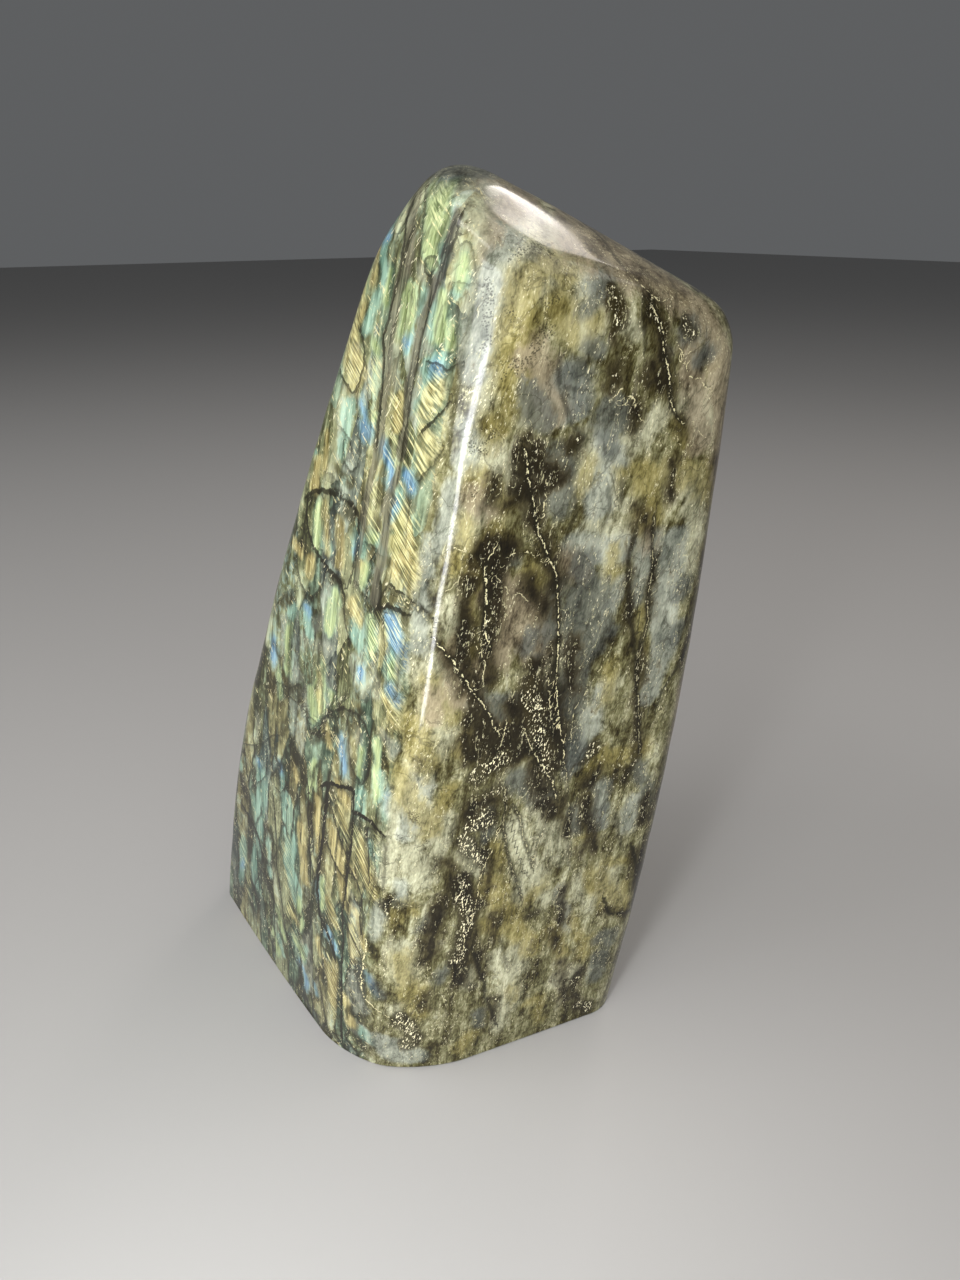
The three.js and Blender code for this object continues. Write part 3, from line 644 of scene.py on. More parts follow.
SLATE = {
    OLIVE_TOP: [
        (1.5, 700, 560, 640, 640), (2.2, 550, 950, 600, 1000), (2, 590, 1080, 620, 1130),
        (3, 760, 1150, 790, 1200), (2, 470, 1380, 500, 1420), (2.2, 470, 1560, 480, 1600),
        (1.8, 690, 840, 640, 830), (2, 1160, 740, 1130, 760), (1.2, 1020, 880, 1040, 840),
        (2, 1200, 900, 1230, 850)],
    OLIVE_MIDDLE: [
        (2, 780, 80, 800, 130), (2, 740, 220, 790, 280), (1.5, 680, 200, 680, 240),
        (1, 560, 600, 580, 620), (3, 920, 640, 950, 740), (3, 1000, 760, 960, 860),
        (1.5, 840, 860, 850, 950), (2.5, 860, 1040, 900, 1100), (2.2, 820, 1200, 880, 1250),
        (2, 1030, 920, 1060, 960), (1.5, 740, 920, 730, 1000), (1.5, 700, 1080, 680, 1150),
        (2, 1430, 720, 1400, 760), (2, 1400, 950, 1380, 980), (2, 480, 1320, 520, 1300),
        (1.8, 660, 980, 640, 1040), (2, 820, 1380, 830, 1450), (1.2, 640, 1380, 650, 1420),
        (2, 860, 1500, 900, 1560)],
    OLIVE_FOOT: [
        (2.8, 800, 190, 860, 230, 930, 290), (2, 1030, 60, 1060, 150), (1.8, 640, 360, 600, 420),
        (1.3, 640, 460, 620, 500), (1.5, 1070, 340, 1070, 440), (1.8, 1430, 250, 1440, 320),
        (1.5, 1390, 120, 1420, 200), (1.3, 1210, 360, 1200, 420), (2.2, 370, 880, 330, 920),
        (1.5, 430, 1150, 400, 1200), (2.2, 1210, 990, 1240, 1000), (2.5, 1200, 1080, 1180, 1180),
        (1.5, 60, 1220, 90, 1270), (1.5, 590, 1370, 600, 1420)],
    FLASH_TOP: [
        (4, 500, 90, 620, 50, 740, 80)],
    WHOLE: [
        (3, 542, 458, 540, 500), (3, 560, 462, 560, 500), (5, 587, 598, 583, 645),
        (3.5, 576, 670, 571, 705), (2.5, 528, 396, 545, 425), (2.5, 520, 700, 545, 712),
        (2, 480, 700, 500, 720), (2, 600, 420, 612, 450), (2, 556, 590, 552, 640)]}
BROWN = {
    OLIVE_TOP: [
        (3, 600, 240, 700, 350), (3, 800, 350, 900, 420, 1000, 480), (3, 1050, 480, 1130, 560),
        (2, 780, 300, 840, 350)],
    OLIVE_MIDDLE: [
        (2.5, 470, 730, 520, 780), (3, 540, 880, 600, 860), (2.5, 540, 960, 500, 1080),
        (1.3, 390, 1120, 400, 1200), (1.5, 1230, 460, 1240, 520)],
    WHOLE: [
        (3.5, 478, 192, 522, 200), (3, 468, 212, 476, 238), (4, 570, 222, 622, 262),
        (3.5, 640, 268, 700, 312), (3, 712, 330, 722, 400, 718, 470), (2.5, 690, 340, 700, 440),
        (3.5, 512, 600, 540, 650), (2, 455, 655, 460, 700), (2.5, 530, 352, 556, 410),
        (2, 476, 500, 484, 512), (3, 496, 196, 525, 196), (2, 690, 680, 680, 740),
        (2, 566, 560, 580, 575), (1.6, 434, 695, 434, 722), (1.3, 540, 600, 540, 622)]}
PEPPER = {
    OLIVE_TOP: [
        (1, 270, 370, 330, 340, 420, 330, 460, 370), (1.2, 430, 620, 480, 590),
        (0.6, 530, 460, 545, 480), (0.5, 340, 570, 350, 580), (0.8, 370, 720, 360, 740),
        (1.6, 450, 770, 370, 830, 330, 900, 290, 960), (1, 240, 1000, 200, 1020),
        (1.3, 180, 1260, 140, 1330, 60, 1350), (1.2, 130, 560, 130, 700, 110, 850),
        (1, 230, 680, 260, 700)],
    OLIVE_MIDDLE: [
        (1, 340, 30, 480, 10), (0.8, 380, 250, 380, 280)],
    OLIVE_FOOT: [
        (1.2, 260, 370, 290, 430), (0.8, 200, 480, 280, 540, 350, 510),
        (1, 1080, 1250, 1060, 1300)]}
# Where glints cluster on a dark ground; the glints are painted into the colour.
SPARKLE = {
    OLIVE_TOP: [
        (1.5, 770, 580, 780, 660, 790, 720), (1, 750, 950, 780, 970),
        (1, 960, 600, 980, 680, 1000, 740), (1.5, 1130, 720, 1160, 760),
        (1, 590, 1330, 560, 1350)],
    OLIVE_MIDDLE: [
        (0.8, 430, 900, 420, 940), (1, 640, 1340, 720, 1350), (0.8, 640, 1130, 620, 1140)],
    OLIVE_FOOT: [
        (2.5, 600, 180, 640, 140, 700, 120), (1.5, 640, 260, 700, 230), (2.5, 560, 420, 640, 400),
        (2, 500, 500, 560, 560, 600, 600), (1.5, 470, 700, 540, 680), (1.5, 540, 780, 580, 800),
        (2, 520, 850, 530, 960), (1.5, 470, 1060, 510, 1090), (1, 430, 800, 440, 830),
        (1, 540, 1230, 550, 1240), (1, 660, 1280, 690, 1300), (2, 200, 1400, 280, 1480, 230, 1530),
        (1.5, 1060, 1320, 1150, 1320, 1140, 1360), (1.2, 1060, 1200, 1100, 1200),
        (1, 100, 830, 130, 850), (1.5, 1110, 100, 1180, 40), (1, 1330, 200, 1380, 60),
        (1, 880, 870, 830, 880)],
    WHOLE: [
        (2, 462, 880, 466, 920, 458, 960), (2, 528, 690, 540, 740, 550, 770)]}

eye = Vector((0.1863, -0.1024, 0.190))
looking = Vector((-0.7484, 0.5240, -0.4067)).to_track_quat("-Z", "Y")
LENS = 27.03
SENSOR = 36
MM_TO_THE_STONE = range(180, 400)
# The marks were placed on a skin whose front edge doesn't widen, so they are found on one here too.
plain_points, plain_u = charted_skin(widens_by=0)
plain_v = plain_points[:, 2]
plain_skin = BVHTree.FromPolygons(plain_points.tolist(), faces)


def chart_point(x, y):
    """The (u, v), to half a mm, of the skin seen at this pixel, or nearest to it off the stone."""
    ahead = LENS / SENSOR * VIEW_HIGH
    ray = (looking @ Vector((x - VIEW_WIDE / 2, VIEW_HIGH / 2 - y, -ahead))).normalized()
    hit, _, face, _ = plain_skin.ray_cast(eye * 1000, ray)
    if hit is None:
        along = [eye * 1000 + ray * reach for reach in MM_TO_THE_STONE]
        hit, _, face, _ = min((plain_skin.find_nearest(p) for p in along), key=lambda near: near[3])
    corners = faces[face]
    share = np.array(poly_3d_calc([Vector(plain_points[i]) for i in corners], hit))
    return tuple(round(2 * float(share @ chart[corners])) / 2 for chart in (plain_u, plain_v))


def on_skin(marks, leading):
    """Marks as their leading numbers and then a line of chart points."""
    for (left, top, enlarged), strokes in marks.items():
        for stroke in strokes:
            xy = stroke[leading:]
            line = [chart_point(left + x / enlarged, top + y / enlarged)
                    for x, y in zip(xy[::2], xy[1::2])]
            yield *stroke[:leading], line


def waves(scale, seed, count=14):
    """Smooth drift from -1 to 1 through the rock, with swells about this many mm apart."""
    rand = np.random.RandomState(seed)
    way = rand.normal(size=(count, 3))
    way *= (2 * math.pi / scale / np.linalg.norm(way, axis=1) * rand.uniform(0.6, 1.5, count))[:, None]
    return np.cos(points @ way.T + rand.uniform(0, 6.28, count)).sum(1) / math.sqrt(count / 2) / 2


def offset_from(line, uu, vv):
    """Distance from a line of chart points, and which side of it, with + to its right hand."""
    best, side = np.full(len(uu), 1e9), np.zeros(len(uu))
    for (au, av), (bu, bv) in zip(line[:-1], line[1:]):
        du, dv = bu - au, bv - av
        size = max(math.hypot(du, dv), 1e-6)
        t = np.clip(((uu - au) * du + (vv - av) * dv) / size ** 2, 0, 1)
        gap = np.hypot(uu - au - t * du, vv - av - t * dv)
        cross = (uu - au) * dv - (vv - av) * du
        side = np.where(gap < best, np.sign(cross), side)
        best = np.minimum(best, gap)
    return best, side


# The edges of the marks are bent a little, so that none of them is straight.
bend_u = 0.5 * waves(8, 11) + 0.3 * waves(3.5, 12)
bend_v = 0.9 * waves(9, 13) + 0.4 * waves(4, 14)


def field(marks, soft):
    """1 inside the marks, 0.5 at their edge and 0 further out, over twice this softness in mm."""
    most = np.full(len(u), -9.0)
    for half, line in on_skin(marks, 1):
        gap, _ = offset_from(line, u + bend_u, v + bend_v)
        most = np.maximum(most, 0.5 + (half - gap) / (2 * soft))
    return np.clip(most, 0, 1)


# Over the back and left faces, which are hidden from the front, drifting patches take over.
normals = np.zeros(len(points) * 3)
mesh.vertices.foreach_get("normal", normals)
normals = normals.reshape(-1, 3)
AWAY_FROM_EYE = np.array([-0.75, 0.66, 0])
hidden = np.clip((normals @ AWAY_FROM_EYE) * 2 - 0.2, 0, 1)


def all_round(values, scale, seed, level):
    """Continues a field over the hidden faces, with patches this many mm across."""
    patches = np.clip(0.5 + (waves(scale, seed) - level), 0, 1)
    return values * (1 - hidden) + patches * hidden


def store(name, *channels):
    values = np.zeros((len(points), 4), np.float32)
    for i, channel in enumerate(channels):
        values[:, i] = channel
    mesh.attributes.new(name, "FLOAT_COLOR", "POINT").data.foreach_set("color", values.ravel())


# The flash side reaches to just left of the front edge and to just under the top.
FLASH_ENDS_AT_U = -2.5
FLASH_ENDS_AT_V = 192
flash_side = np.clip(0.5 - (u - FLASH_ENDS_AT_U + bend_u) / 5, 0, 1)
flash_side = flash_side * (1 - np.clip((v - FLASH_ENDS_AT_V) / 4, 0, 1))
flash_side = flash_side * (1 - hidden) + hidden * np.clip(0.5 + 1.5 * waves(60, 21), 0, 1)
store("flash", all_round(field(GOLD, 1.4), 14, 31, 0.55), all_round(field(LIME, 1.4), 16, 32, 0.6),
      all_round(field(TURQUOISE, 1.4), 15, 33, 0.75), all_round(field(BLUE, 1.2), 13, 34, 0.9))
store("veil", flash_side, all_round(field(BANDS, 0.9), 9, 35, 0.9), field(HATCHED, 1.5),
      all_round(field(SHADE, 1.5), 12, 43, 0.6))
store("rock", all_round(field(DARK, 2.0), 17, 36, 0.6), all_round(field(CREAM, 2.5), 19, 37, 0.5),
      all_round(field(STAIN, 2.2), 16, 38, 0.6), all_round(field(SLATE, 2.0), 18, 39, 0.7))
store("marks", all_round(field(SPARKLE, 1.5), 12, 40, 1.1), all_round(field(PEPPER, 1.2), 10, 41, 1.0),
      field(BROWN, 2.5), all_round(field(PALE, 1.6), 13, 44, 0.7))

# Every point knows its nearest crack: the distance and side, and the crack's width and strengths.
REACH_OF_CRACK = 3
FAR_FROM_CRACK = 9
nearest, across = np.full(len(u), 1e9), np.full(len(u), float(FAR_FROM_CRACK))
width, light, dim = np.zeros((3, len(u)))
dark_lines = [(half, 0, gloom, line) for half, gloom, line in on_skin(LINES, 2)]
for half, bright, gloom, line in dark_lines + list(on_skin(CRACKS, 3)):
    gap, side = offset_from(line, u, v)
    closer = (gap < nearest) & (hidden < 0.3)
    across = np.where(closer, side * gap, across)
    width = np.where(closer, half, width)
    light = np.where(closer, bright, light)
    dim = np.where(closer, gloom, dim)
    nearest = np.where(closer, gap, nearest)
near = np.clip(REACH_OF_CRACK - nearest, 0, 1)
store("crack", across, width * near, light * near, dim * near)
gap_mm = np.minimum(nearest, FAR_FROM_CRACK).astype(np.float32)
mesh.attributes.new("gap", "FLOAT", "POINT").data.foreach_set("value", gap_mm)

# The rock's own space, in mm from the front edge, so that the fibres rise along that edge.
grain = points - np.stack([*front_edge(v), 0 * v], -1)
mesh.attributes.new("grain", "FLOAT_VECTOR", "POINT").data.foreach_set(
    "vector", grain.astype(np.float32).ravel())

# The polished surface wanders a little, as hand polishing leaves it, and lies just inside the
# ground faces. In the lowest rows it comes back out to the flat base.
SINK = 0.22
LONG_WANDER = 0.09
SHORT_WANDER = 0.05
sink = SINK + LONG_WANDER * waves(26, 51) + SHORT_WANDER * waves(12, 52)
low = v < 0.9
sink[low] = 0.12 * v[low]
moved = points - normals * sink[:, None]
moved[low, 2] = v[low]
mesh.vertices.foreach_set("co", (moved * 0.001).ravel())

# The material: polished labradorite, a feldspar. The polish is a clear gloss over a body that
# scatters softly, and fine fibres in the body catch the light. Fibres, blotches and grains are
# sized in mm, and they take their colours where the marks above say.
polished = bpy.data.materials.new("polished_labradorite")
polished.use_nodes = True
tree = polished.node_tree
shader = tree.nodes["Principled BSDF"]
product = {"operation": "MULTIPLY"}
product_plus = {"operation": "MULTIPLY_ADD"}
difference = {"operation": "SUBTRACT"}
eased = {"interpolation_type": "SMOOTHSTEP"}


def linear(code):
    """Linear colour from an sRGB hex code."""
    parts = [int(code[i:i + 2], 16) / 255 for i in (1, 3, 5)]
    return [c / 12.92 if c < 0.04045 else ((c + 0.055) / 1.055) ** 2.4 for c in parts] + [1]


def add(kind, inputs, stops=(), **settings):
    """Adds a node. Each input is a value, a hex colour, or the node or socket that feeds it. An
    input goes by its name or number: 1 and 2 of a MapRange are where it starts and ends, and 3 and
    4 what it gives there. A noise is spread over about 0.3 to 0.7."""
    node = tree.nodes.new("ShaderNode" + kind)
    for name, value in settings.items():
        setattr(node, name, value)
    for key, value in inputs.items():
        value = linear(value) if isinstance(value, str) else value
        value = value.outputs[0] if isinstance(value, bpy.types.Node) else value
        if isinstance(value, bpy.types.NodeSocket):
            tree.links.new(value, node.inputs[key])
        else:
            node.inputs[key].default_value = value
    for i, (at, code) in enumerate(stops):
        stop = node.color_ramp.elements[i] if i < 2 else node.color_ramp.elements.new(at)
        stop.position, stop.color = at, linear(code)
    return node


def blend(a, share, b, rest):
    """The sum of two patterns, each with its share."""
    part = add("Math", {0: b, 1: rest}, **product)
    return add("Math", {0: a, 1: share, 2: part}, **product_plus)


def hairlines(noise, level, start, full, most):
    """Thin lines where a noise crosses this level: full strength within `full` of it."""
    off = add("Math", {0: add("Math", {0: noise, 1: level}, **difference)}, operation="ABSOLUTE")
    return add("MapRange", {0: off, 1: start, 2: full, 4: most}, **eased)


def layered(colour, tone, layers):
    """Lays minerals over a colour. Each is its field, the noise and reach that break its edge, the
    levels between which it comes in, how strong it gets, and its colours in low and high tone."""
    for spread, wander, reach, start, full, most, low, high in layers:
        edge = add("Math", {0: wander, 1: reach, 2: spread}, **product_plus)
        levels = {1: start + reach / 2, 2: full + reach / 2}
        mask = add("MapRange", {0: edge, **levels, 4: most}, **eased)
        tint = add("MixRGB", {0: tone, 1: low, 2: high})
        colour = add("MixRGB", {0: mask, 1: colour, 2: tint})
    return colour


grain = add("Attribute", {}, attribute_name="grain").outputs["Vector"]
gap = add("Attribute", {}, attribute_name="gap").outputs["Fac"]
chan = {}
for name in ("flash", "veil", "rock", "marks", "crack"):
    read = add("Attribute", {}, attribute_name=name)
    split = add("SeparateColor", {0: read})
    chan[name] = [*split.outputs, read.outputs["Alpha"]]
gold, lime, turquoise, blue = chan["flash"]
flash_part, bands, hatched, shade = chan["veil"]
dark, cream, stain, slate = chan["rock"]
sparkle, pepper, brown, pale = chan["marks"]
across, crack_width, crack_light, crack_dark = chan["crack"]

# Noises: grain size in mm along x, y and z, turn in radians, detail, roughness and distortion.
noises = {}
for name, size, turn, detail, rough, twist in (
        ("threads", (1.7, 1.7, 18), 0, 3, 0.6, 0.15), ("hairs", (0.45, 0.45, 7), 0, 2, 0.5, 0),
        ("clouds", (7, 7, 11), 0, 4, 0.55, 0.5), ("mottle", (1.5, 1.5, 2.1), 0, 4, 0.62, 0.6),
        ("wisps", (2.6, 2.6, 10), 0, 4, 0.6, 0.7), ("veins", (5, 5, 9), 0.15, 5, 0.55, 0.6),
        ("strokes", (0.38, 0.6, 6), -1.03, 2, 0.5, 0), ("flecks", (0.9, 0.9, 1.3), 0.5, 2, 0.6, 0),
        ("grit", (0.4, 0.4, 1.2), 0.2, 2, 0.6, 0), ("slivers", (0.35, 0.35, 1.7), 0.5, 1, 0.5, 0)):
    at = add("Mapping", {"Vector": grain, "Rotation": (0, turn, 0), "Scale": size},
             vector_type="TEXTURE")
    noises[name] = add("TexNoise", {"Vector": at, "Scale": 1, "Detail": detail, "Roughness": rough,
                                    "Distortion": twist})
threads, hairs, clouds, mottle, wisps, veins, strokes, flecks, grit, slivers = noises.values()
ragged = blend(mottle, 0.5, wisps, 0.5)

# Flash side: fine upright fibres in grey green, in lens shaped cells, with glowing patches of painted
# sheen; each lens is painted lighter towards its foot.
fibre = blend(threads, 0.6, hairs, 0.4)
warp = add("VectorMath", {0: clouds.outputs["Color"], 1: (0.5, 0.5, 0.5)}, **difference)
warp = add("VectorMath", {0: warp, 1: (4, 4, 9), 2: grain}, **product_plus)
lens_places, rims = [], []
for size, shift in (((6.5, 6.5, 24), 0), ((2.8, 2.8, 12), 40)):
    at = add("Mapping", {"Vector": warp, "Location": (shift, 0, 0), "Scale": size},
             vector_type="TEXTURE")
    rim = add("TexVoronoi", {"Vector": at, "Scale": 1, "Randomness": 1}, feature="DISTANCE_TO_EDGE")
    lens_places.append(at)
    rims.append(rim.outputs["Distance"])
lens = add("TexVoronoi", {"Vector": lens_places[0], "Scale": 1, "Randomness": 1})
low = add("VectorMath", {0: lens_places[0], 1: lens.outputs["Position"]}, **difference)
drop = add("SeparateXYZ", {0: low}).outputs["Z"]
fade = add("MapRange", {0: drop, 1: 0.55, 2: -0.45})
kind = add("SeparateColor", {0: lens.outputs["Color"]})
height = add("SeparateXYZ", {0: grain}).outputs["Z"]
lower = add("MapRange", {0: height, 1: 110, 2: 70})
tone = blend(fibre, 0.9, clouds, 0.9)
tone = blend(mottle, 0.4, tone, 1.0)
tone = blend(fade, 0.24, tone, 1.0)
tone = blend(kind.outputs[1], 0.1, tone, 1.0)
# Painted light: the flash side is made lighter towards the top and darker towards the foot, as if more
# light fell on its upper part.
tone = blend(add("MapRange", {0: height, 1: 30, 2: 190}), 0.22, tone, 1.0)
tone = add("MapRange", {0: tone, 1: 1.2, 2: 1.655})
flash_base = add("ValToRGB", {0: tone}, stops=(
    (0.0, "#282817"), (1.0, "#bfc29c"), (0.3, "#57593b"), (0.55, "#7c805d"), (0.78, "#9da27d")))
streaky = add("MixRGB", {0: hatched, 1: fibre, 2: strokes})
glow = add("MapRange", {0: streaky, 1: 0.38, 2: 0.62})
drift = blend(clouds, 0.5, mottle, 0.5)
flash_colour = layered(flash_base, tone, (
    (kind.outputs[0], mottle, 0.4, 0.58, 0.68, 0.55, "#344a3c", "#9dbba2"),
    (kind.outputs[1], mottle, 0.4, 0.64, 0.74, 0.5, "#473f20", "#c8bb84"),
    (kind.outputs[2], mottle, 0.4, 0.76, 0.84, 0.4, "#3c474b", "#a0acae"),
    (pale, drift, 1.2, 0.3, 0.8, 0.35, "#74776a", "#c3c5b2"),
    (shade, drift, 1.5, 0.2, 0.6, 0.8, "#1c1b0d", "#575234")))
# The flash patches: painted sheen, the labradorescence put into the colour.
flash_colour = layered(flash_colour, glow, (
    (turquoise, drift, 1.6, 0.1, 0.7, 0.7, "#567a68", "#add0bb"),
    (lime, drift, 1.6, 0.0, 0.5, 0.55, "#637d62", "#aac49f"),
    (lime, drift, 1.6, 0.2, 0.75, 0.75, "#727f49", "#cad69c"),
    (gold, drift, 1.6, 0.1, 0.7, 0.7, "#716433", "#d6c78a"),
    (blue, drift, 1.6, 0.0, 0.5, 0.55, "#4d757b", "#9dc0bf"),
    (blue, drift, 1.6, 0.35, 0.9, 0.65, "#416b92", "#8fb6d3")))

# Dark rims round the lenses, clearer lower down and left out where the hatching is.
calm = add("Math", {0: 1.0, 1: hatched}, **difference)
outlined = add("MapRange", {0: lower, 3: 0.55, 4: 1.0})
patchy = add("MapRange", {0: clouds, 1: 0.38, 2: 0.54}, **eased)
some_rims = add("Math", {0: outlined, 1: patchy}, **product)
for rim, width, most in ((rims[0], 0.075, 0.9), (rims[1], 0.03, 0.15)):
    line = add("Math", {0: mottle, 1: 0.08, 2: rim}, **product_plus)
    line = add("MapRange", {0: line, 1: width + 0.06, 2: 0.05, 4: most}, **eased)
    line = add("Math", {0: add("Math", {0: line, 1: calm}, **product), 1: some_rims}, **product)
    flash_colour = add("MixRGB", {0: line, 1: flash_colour, 2: "#1d1e10"})

# Slanted hatching of the cleavage: green in the gaps, gold on the strokes, and a few splinters; the
# gold strokes and splinters are painted glints.
gaps = add("MapRange", {0: strokes, 1: 0.48, 2: 0.38, 4: 0.4}, **eased)
gaps = add("Math", {0: gaps, 1: hatched}, **product)
flash_colour = add("MixRGB", {0: gaps, 1: flash_colour, 2: "#4a5440"})
bright = add("MapRange", {0: strokes, 1: 0.54, 2: 0.62, 4: 0.68}, **eased)
bright = add("Math", {0: bright, 1: hatched}, **product)
flash_colour = add("MixRGB", {0: bright, 1: flash_colour, 2: "#d3d19a"})
splinters = add("MapRange", {0: strokes, 1: 0.6, 2: 0.66, 4: 0.7}, **eased)
scattered = add("MapRange", {0: mottle, 1: 0.5, 2: 0.56}, **eased)
splinters = add("Math", {0: splinters, 1: scattered}, **product)
flash_colour = add("MixRGB", {0: splinters, 1: flash_colour, 2: "#e3d6a2"})
flash_colour = layered(flash_colour, glow, (
    (bands, mottle, 0.8, 0.2, 0.6, 0.8, "#25221a", "#787460"),))

# Olive side: cloudy feldspar in grey, cream and stained olive, with dark pockets.
upright = add("MixRGB", {0: lower, 1: wisps, 2: threads})
fuzz = blend(mottle, 0.25, blend(clouds, 0.6, upright, 0.4), 0.75)
grainy = blend(fuzz, 0.82, grit, 0.18)
rock_tone = add("MapRange", {0: grainy, 1: 0.395, 2: 0.605})
rock_base = add("ValToRGB", {0: rock_tone}, stops=(
    (0.0, "#151106"), (1.0, "#bcbb9b"), (0.25, "#3b3519"), (0.5, "#636040"), (0.75, "#8d8a69")))
rock_colour = layered(rock_base, rock_tone, (
    (cream, ragged, 2.0, 0.1, 0.8, 0.75, "#66654a", "#d6d5b6"),
    (pale, ragged, 1.5, 0.1, 0.75, 0.7, "#5c6156", "#b0b5a8"),
    (stain, ragged, 2.0, 0.1, 0.8, 0.72, "#3b3411", "#a4985a"),
    (brown, ragged, 2.0, 0.1, 0.7, 0.8, "#443b2b", "#a1947a"),
    (slate, ragged, 1.8, 0.1, 0.75, 0.8, "#1c1f1c", "#666a63"),
    (dark, ragged, 2.2, 0.0, 0.7, 0.8, "#120f07", "#493e21"),
    (dark, ragged, 3.0, 0.4, 0.95, 0.94, "#040302", "#201a0c"),
    (sparkle, ragged, 2.0, 0.2, 0.7, 0.8, "#080603", "#38311a")))
veining = hairlines(veins, 0.5, 0.022, 0.004, 0.42)
rock_colour = add("MixRGB", {0: veining, 1: rock_colour, 2: "#221d0c"})
netting = hairlines(wisps, 0.56, 0.012, 0.003, 0.6)
scattered = add("MapRange", {0: flecks, 1: 0.48, 2: 0.58}, **eased)
netting = add("Math", {0: netting, 1: scattered}, **product)
rock_colour = add("MixRGB", {0: netting, 1: rock_colour, 2: "#c9c39a"})

colour = add("MixRGB", {0: flash_part, 1: rock_colour, 2: flash_colour})

# Cracks: a pale thread with a dark lip; on the flash side only a dark line, shaded to one side.
wiggle = add("Math", {0: mottle, 1: 1.6, 2: -0.8}, **product_plus)
wiggle = add("Math", {0: wiggle, 1: 0.45}, **difference)
wiggle = add("Math", {0: flecks, 1: 0.9, 2: wiggle}, **product_plus)
offset = add("Math", {0: across, 1: wiggle}, operation="ADD")
away = add("Math", {0: offset}, operation="ABSOLUTE")
close = add("MapRange", {0: gap, 1: 1.3, 2: 0.8})
lip = add("MapRange", {0: away, 1: 0.9, 2: 0.15}, **eased)
scattered = add("MapRange", {0: ragged, 1: 0.34, 2: 0.48}, **eased)
lip = add("Math", {0: lip, 1: scattered}, **product)
shaded = add("MapRange", {0: offset, 1: 2.4, 2: 0.0, 4: 0.7})
right_hand = add("Math", {0: offset, 1: 0.0}, operation="GREATER_THAN")
shaded = add("Math", {0: shaded, 1: right_hand}, **product)
wider = add("MapRange", {0: flash_part, 3: 0.35, 4: 1.6})
core = add("Math", {0: crack_width, 1: wider}, **product)
core = add("Math", {0: core, 1: away}, **difference)
core = add("MapRange", {0: core, 1: -0.1, 2: 0.04}, **eased)
core = add("Math", {0: core, 1: close}, **product)
flash_line = add("Math", {0: shaded, 1: core}, operation="MAXIMUM")
gloom = add("MixRGB", {0: flash_part, 1: lip, 2: flash_line})
gloom = add("Math", {0: gloom, 1: crack_dark}, **product)
colour = add("MixRGB", {0: gloom, 1: colour, 2: "#19160b"})
broken = add("MapRange", {0: flecks, 1: 0.45, 2: 0.54}, **eased)
broken = add("Math", {0: broken, 1: crack_light}, **product)
thread = add("Math", {0: core, 1: broken}, **product)
colour = add("MixRGB", {0: thread, 1: colour, 2: "#e6dcae"})

# Painted glints of cleavage flakes, bright specks put into the colour, and black grains about 0.4 mm
# apart in peppered patches.
where = add("Math", {0: mottle, 1: 1.6, 2: sparkle}, **product_plus)
where = add("MapRange", {0: where, 1: 1.45, 2: 1.65}, **eased)
flakes = add("MapRange", {0: slivers, 1: 0.57, 2: 0.64}, **eased)
flakes = add("Math", {0: flakes, 1: where}, **product)
dots = add("MapRange", {0: slivers, 1: 0.65, 2: 0.71, 4: 0.6}, **eased)
scattered = add("MapRange", {0: wisps, 1: 0.5, 2: 0.56}, **eased)
dots = add("Math", {0: dots, 1: scattered}, **product)
glints = add("Math", {0: flakes, 1: dots}, operation="MAXIMUM")
colour = add("MixRGB", {0: glints, 1: colour, 2: "#ece4c0"})
GRAIN_SIZE = 0.42
jitter = (0.5, 0.5, 0.5)
at = add("VectorMath", {0: mottle.outputs["Color"], 1: jitter, 2: grain}, **product_plus)
at = add("Mapping", {"Vector": at, "Scale": [GRAIN_SIZE] * 3}, vector_type="TEXTURE")
grains = add("TexVoronoi", {"Vector": at, "Scale": 1, "Randomness": 1}).outputs["Distance"]
grains = add("MapRange", {0: grains, 1: 0.5, 2: 0.35}, **eased)
some = add("Math", {0: mottle, 1: 1.4, 2: pepper}, **product_plus)
some = add("MapRange", {0: some, 1: 1.2, 2: 1.45, 4: 0.65}, **eased)
grains = add("Math", {0: grains, 1: some}, **product)
colour = add("MixRGB", {0: grains, 1: colour, 2: "#1d190f"})

tree.links.new(colour.outputs[0], shader.inputs["Base Color"])
shader.inputs["Roughness"].default_value = 0.3
shader.inputs["IOR"].default_value = 1.56
shader.inputs["Specular IOR Level"].default_value = 0.06
shader.inputs["Coat Weight"].default_value = 0.42
shader.inputs["Coat Roughness"].default_value = 0.1
shader.inputs["Coat IOR"].default_value = 1.5
bump = add("Bump", {"Strength": 0.15, "Distance": 0.0003, "Height": fibre})
tree.links.new(bump.outputs[0], shader.inputs["Normal"])
mesh.materials.append(polished)

# ---------------------------------------------------------------------------------------------
# The floor: a plain pale sheet of matt paper that the stone stands on. It is wide enough to reach
# past the sides of the view.
bpy.ops.mesh.primitive_plane_add(size=8, location=(0, 0, 0))
floor = bpy.context.object
floor.name = "floor"
paper = bpy.data.materials.new("pale_matt_paper")
paper.use_nodes = True
paper.node_tree.nodes["Principled BSDF"].inputs["Base Color"].default_value = linear("#acaaa8")
paper.node_tree.nodes["Principled BSDF"].inputs["Roughness"].default_value = 0.9
floor.data.materials.append(paper)


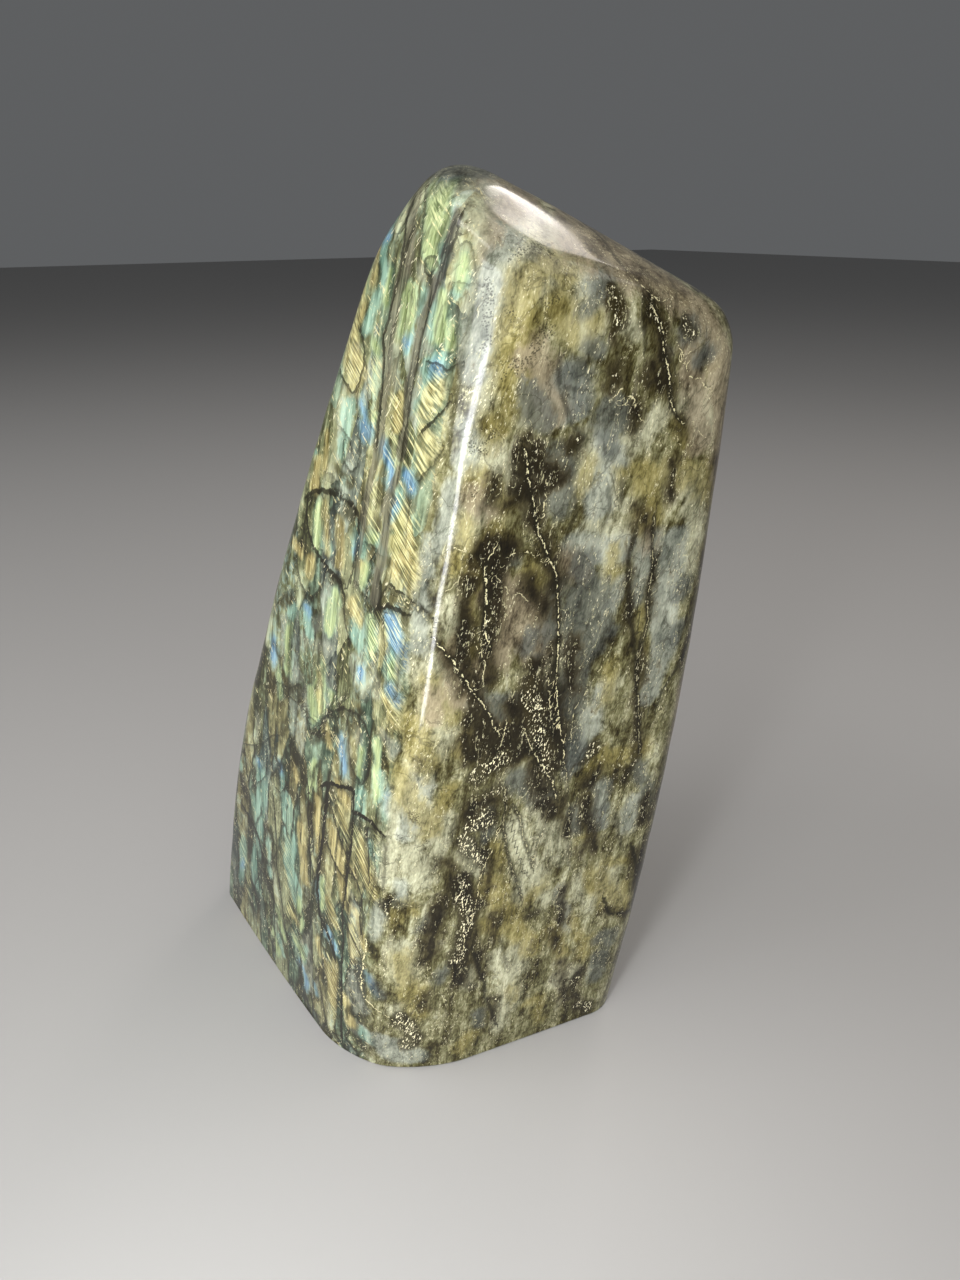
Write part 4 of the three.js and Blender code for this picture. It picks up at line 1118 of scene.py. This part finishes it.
# ---------------------------------------------------------------------------------------------
# The light: soft rectangular lamps in a dim grey studio. Most of the light comes from above, the
# window and the room, and the smaller lamps are there to be mirrored in the polish.
def lamp(name, at, to, wide, high, power, colour):
    """Adds a lamp in metres and watts that looks from one place to another."""
    light = bpy.data.lights.new(name, "AREA")
    light.shape = "RECTANGLE"
    light.size, light.size_y = wide, high
    light.energy, light.color = power, colour
    holder = bpy.data.objects.new(name, light)
    bpy.context.scene.collection.objects.link(holder)
    holder.location = at
    holder.rotation_euler = (Vector(to) - Vector(at)).to_track_quat("-Z", "Y").to_euler()
    holder.visible_camera = False


# Mirrored in the top bevel, with a smaller one for its brightest spot.
lamp("overhead", (-0.136, 0.489, 0.659), (0.05, 0, 0.187), 0.2, 0.12, 0.43, (1, 0.92, 0.86))
lamp("spark", (-0.213, 0.504, 0.679), (0.046, 0.008, 0.19), 0.09, 0.09, 0.25, (1, 0.94, 0.9))
# The general light: warm from behind, cool from the flash side and neutral from the front.
lamp("above", (0.5, 0.5, 1.3), (0.02, 0, 0.15), 0.9, 0.9, 5.5, (1, 0.96, 0.92))
lamp("window", (-0.42, -0.8, 0.72), (0.02, 0, 0.12), 0.95, 0.95, 3.9, (0.96, 0.98, 1))
lamp("room", (0.76, -0.25, 0.62), (0.02, 0, 0.12), 0.8, 0.8, 2.1, (1, 0.98, 0.95))
# Mirrored in the front edge: its bright line, the sheen beside it and its wide top.
lamp("strip", (0.159, -0.162, 0.1), (0.045, -0.025, 0.1), 0.024, 0.19, 0.48, (0.97, 0.99, 1))
lamp("panel", (0.168, -0.235, 0.205), (0.053, -0.02, 0.175), 0.12, 0.1, 0.34, (0.93, 0.97, 1))
lamp("bar", (0.07, -0.355, 0.545), (0.052, -0.008, 0.185), 0.5, 0.1, 1.2, (1, 0.97, 0.94))
world = bpy.data.worlds.new("studio")
world.use_nodes = True
world.node_tree.nodes["Background"].inputs["Color"].default_value = linear("#e7eaed")
world.node_tree.nodes["Background"].inputs["Strength"].default_value = 0.14
bpy.context.scene.world = world
bpy.context.scene.view_settings.view_transform = "Standard"

# ---------------------------------------------------------------------------------------------
# The camera: it stands where the marks were picked from, about level with the top of the stone and
# close to it, and looks down.
camera = bpy.data.objects.new("camera", bpy.data.cameras.new("camera"))
bpy.context.scene.collection.objects.link(camera)
camera.location = eye
camera.rotation_euler = looking.to_euler()
camera.data.lens = LENS
camera.data.clip_start = 0.01
bpy.context.scene.camera = camera

bpy.context.view_layer.update()
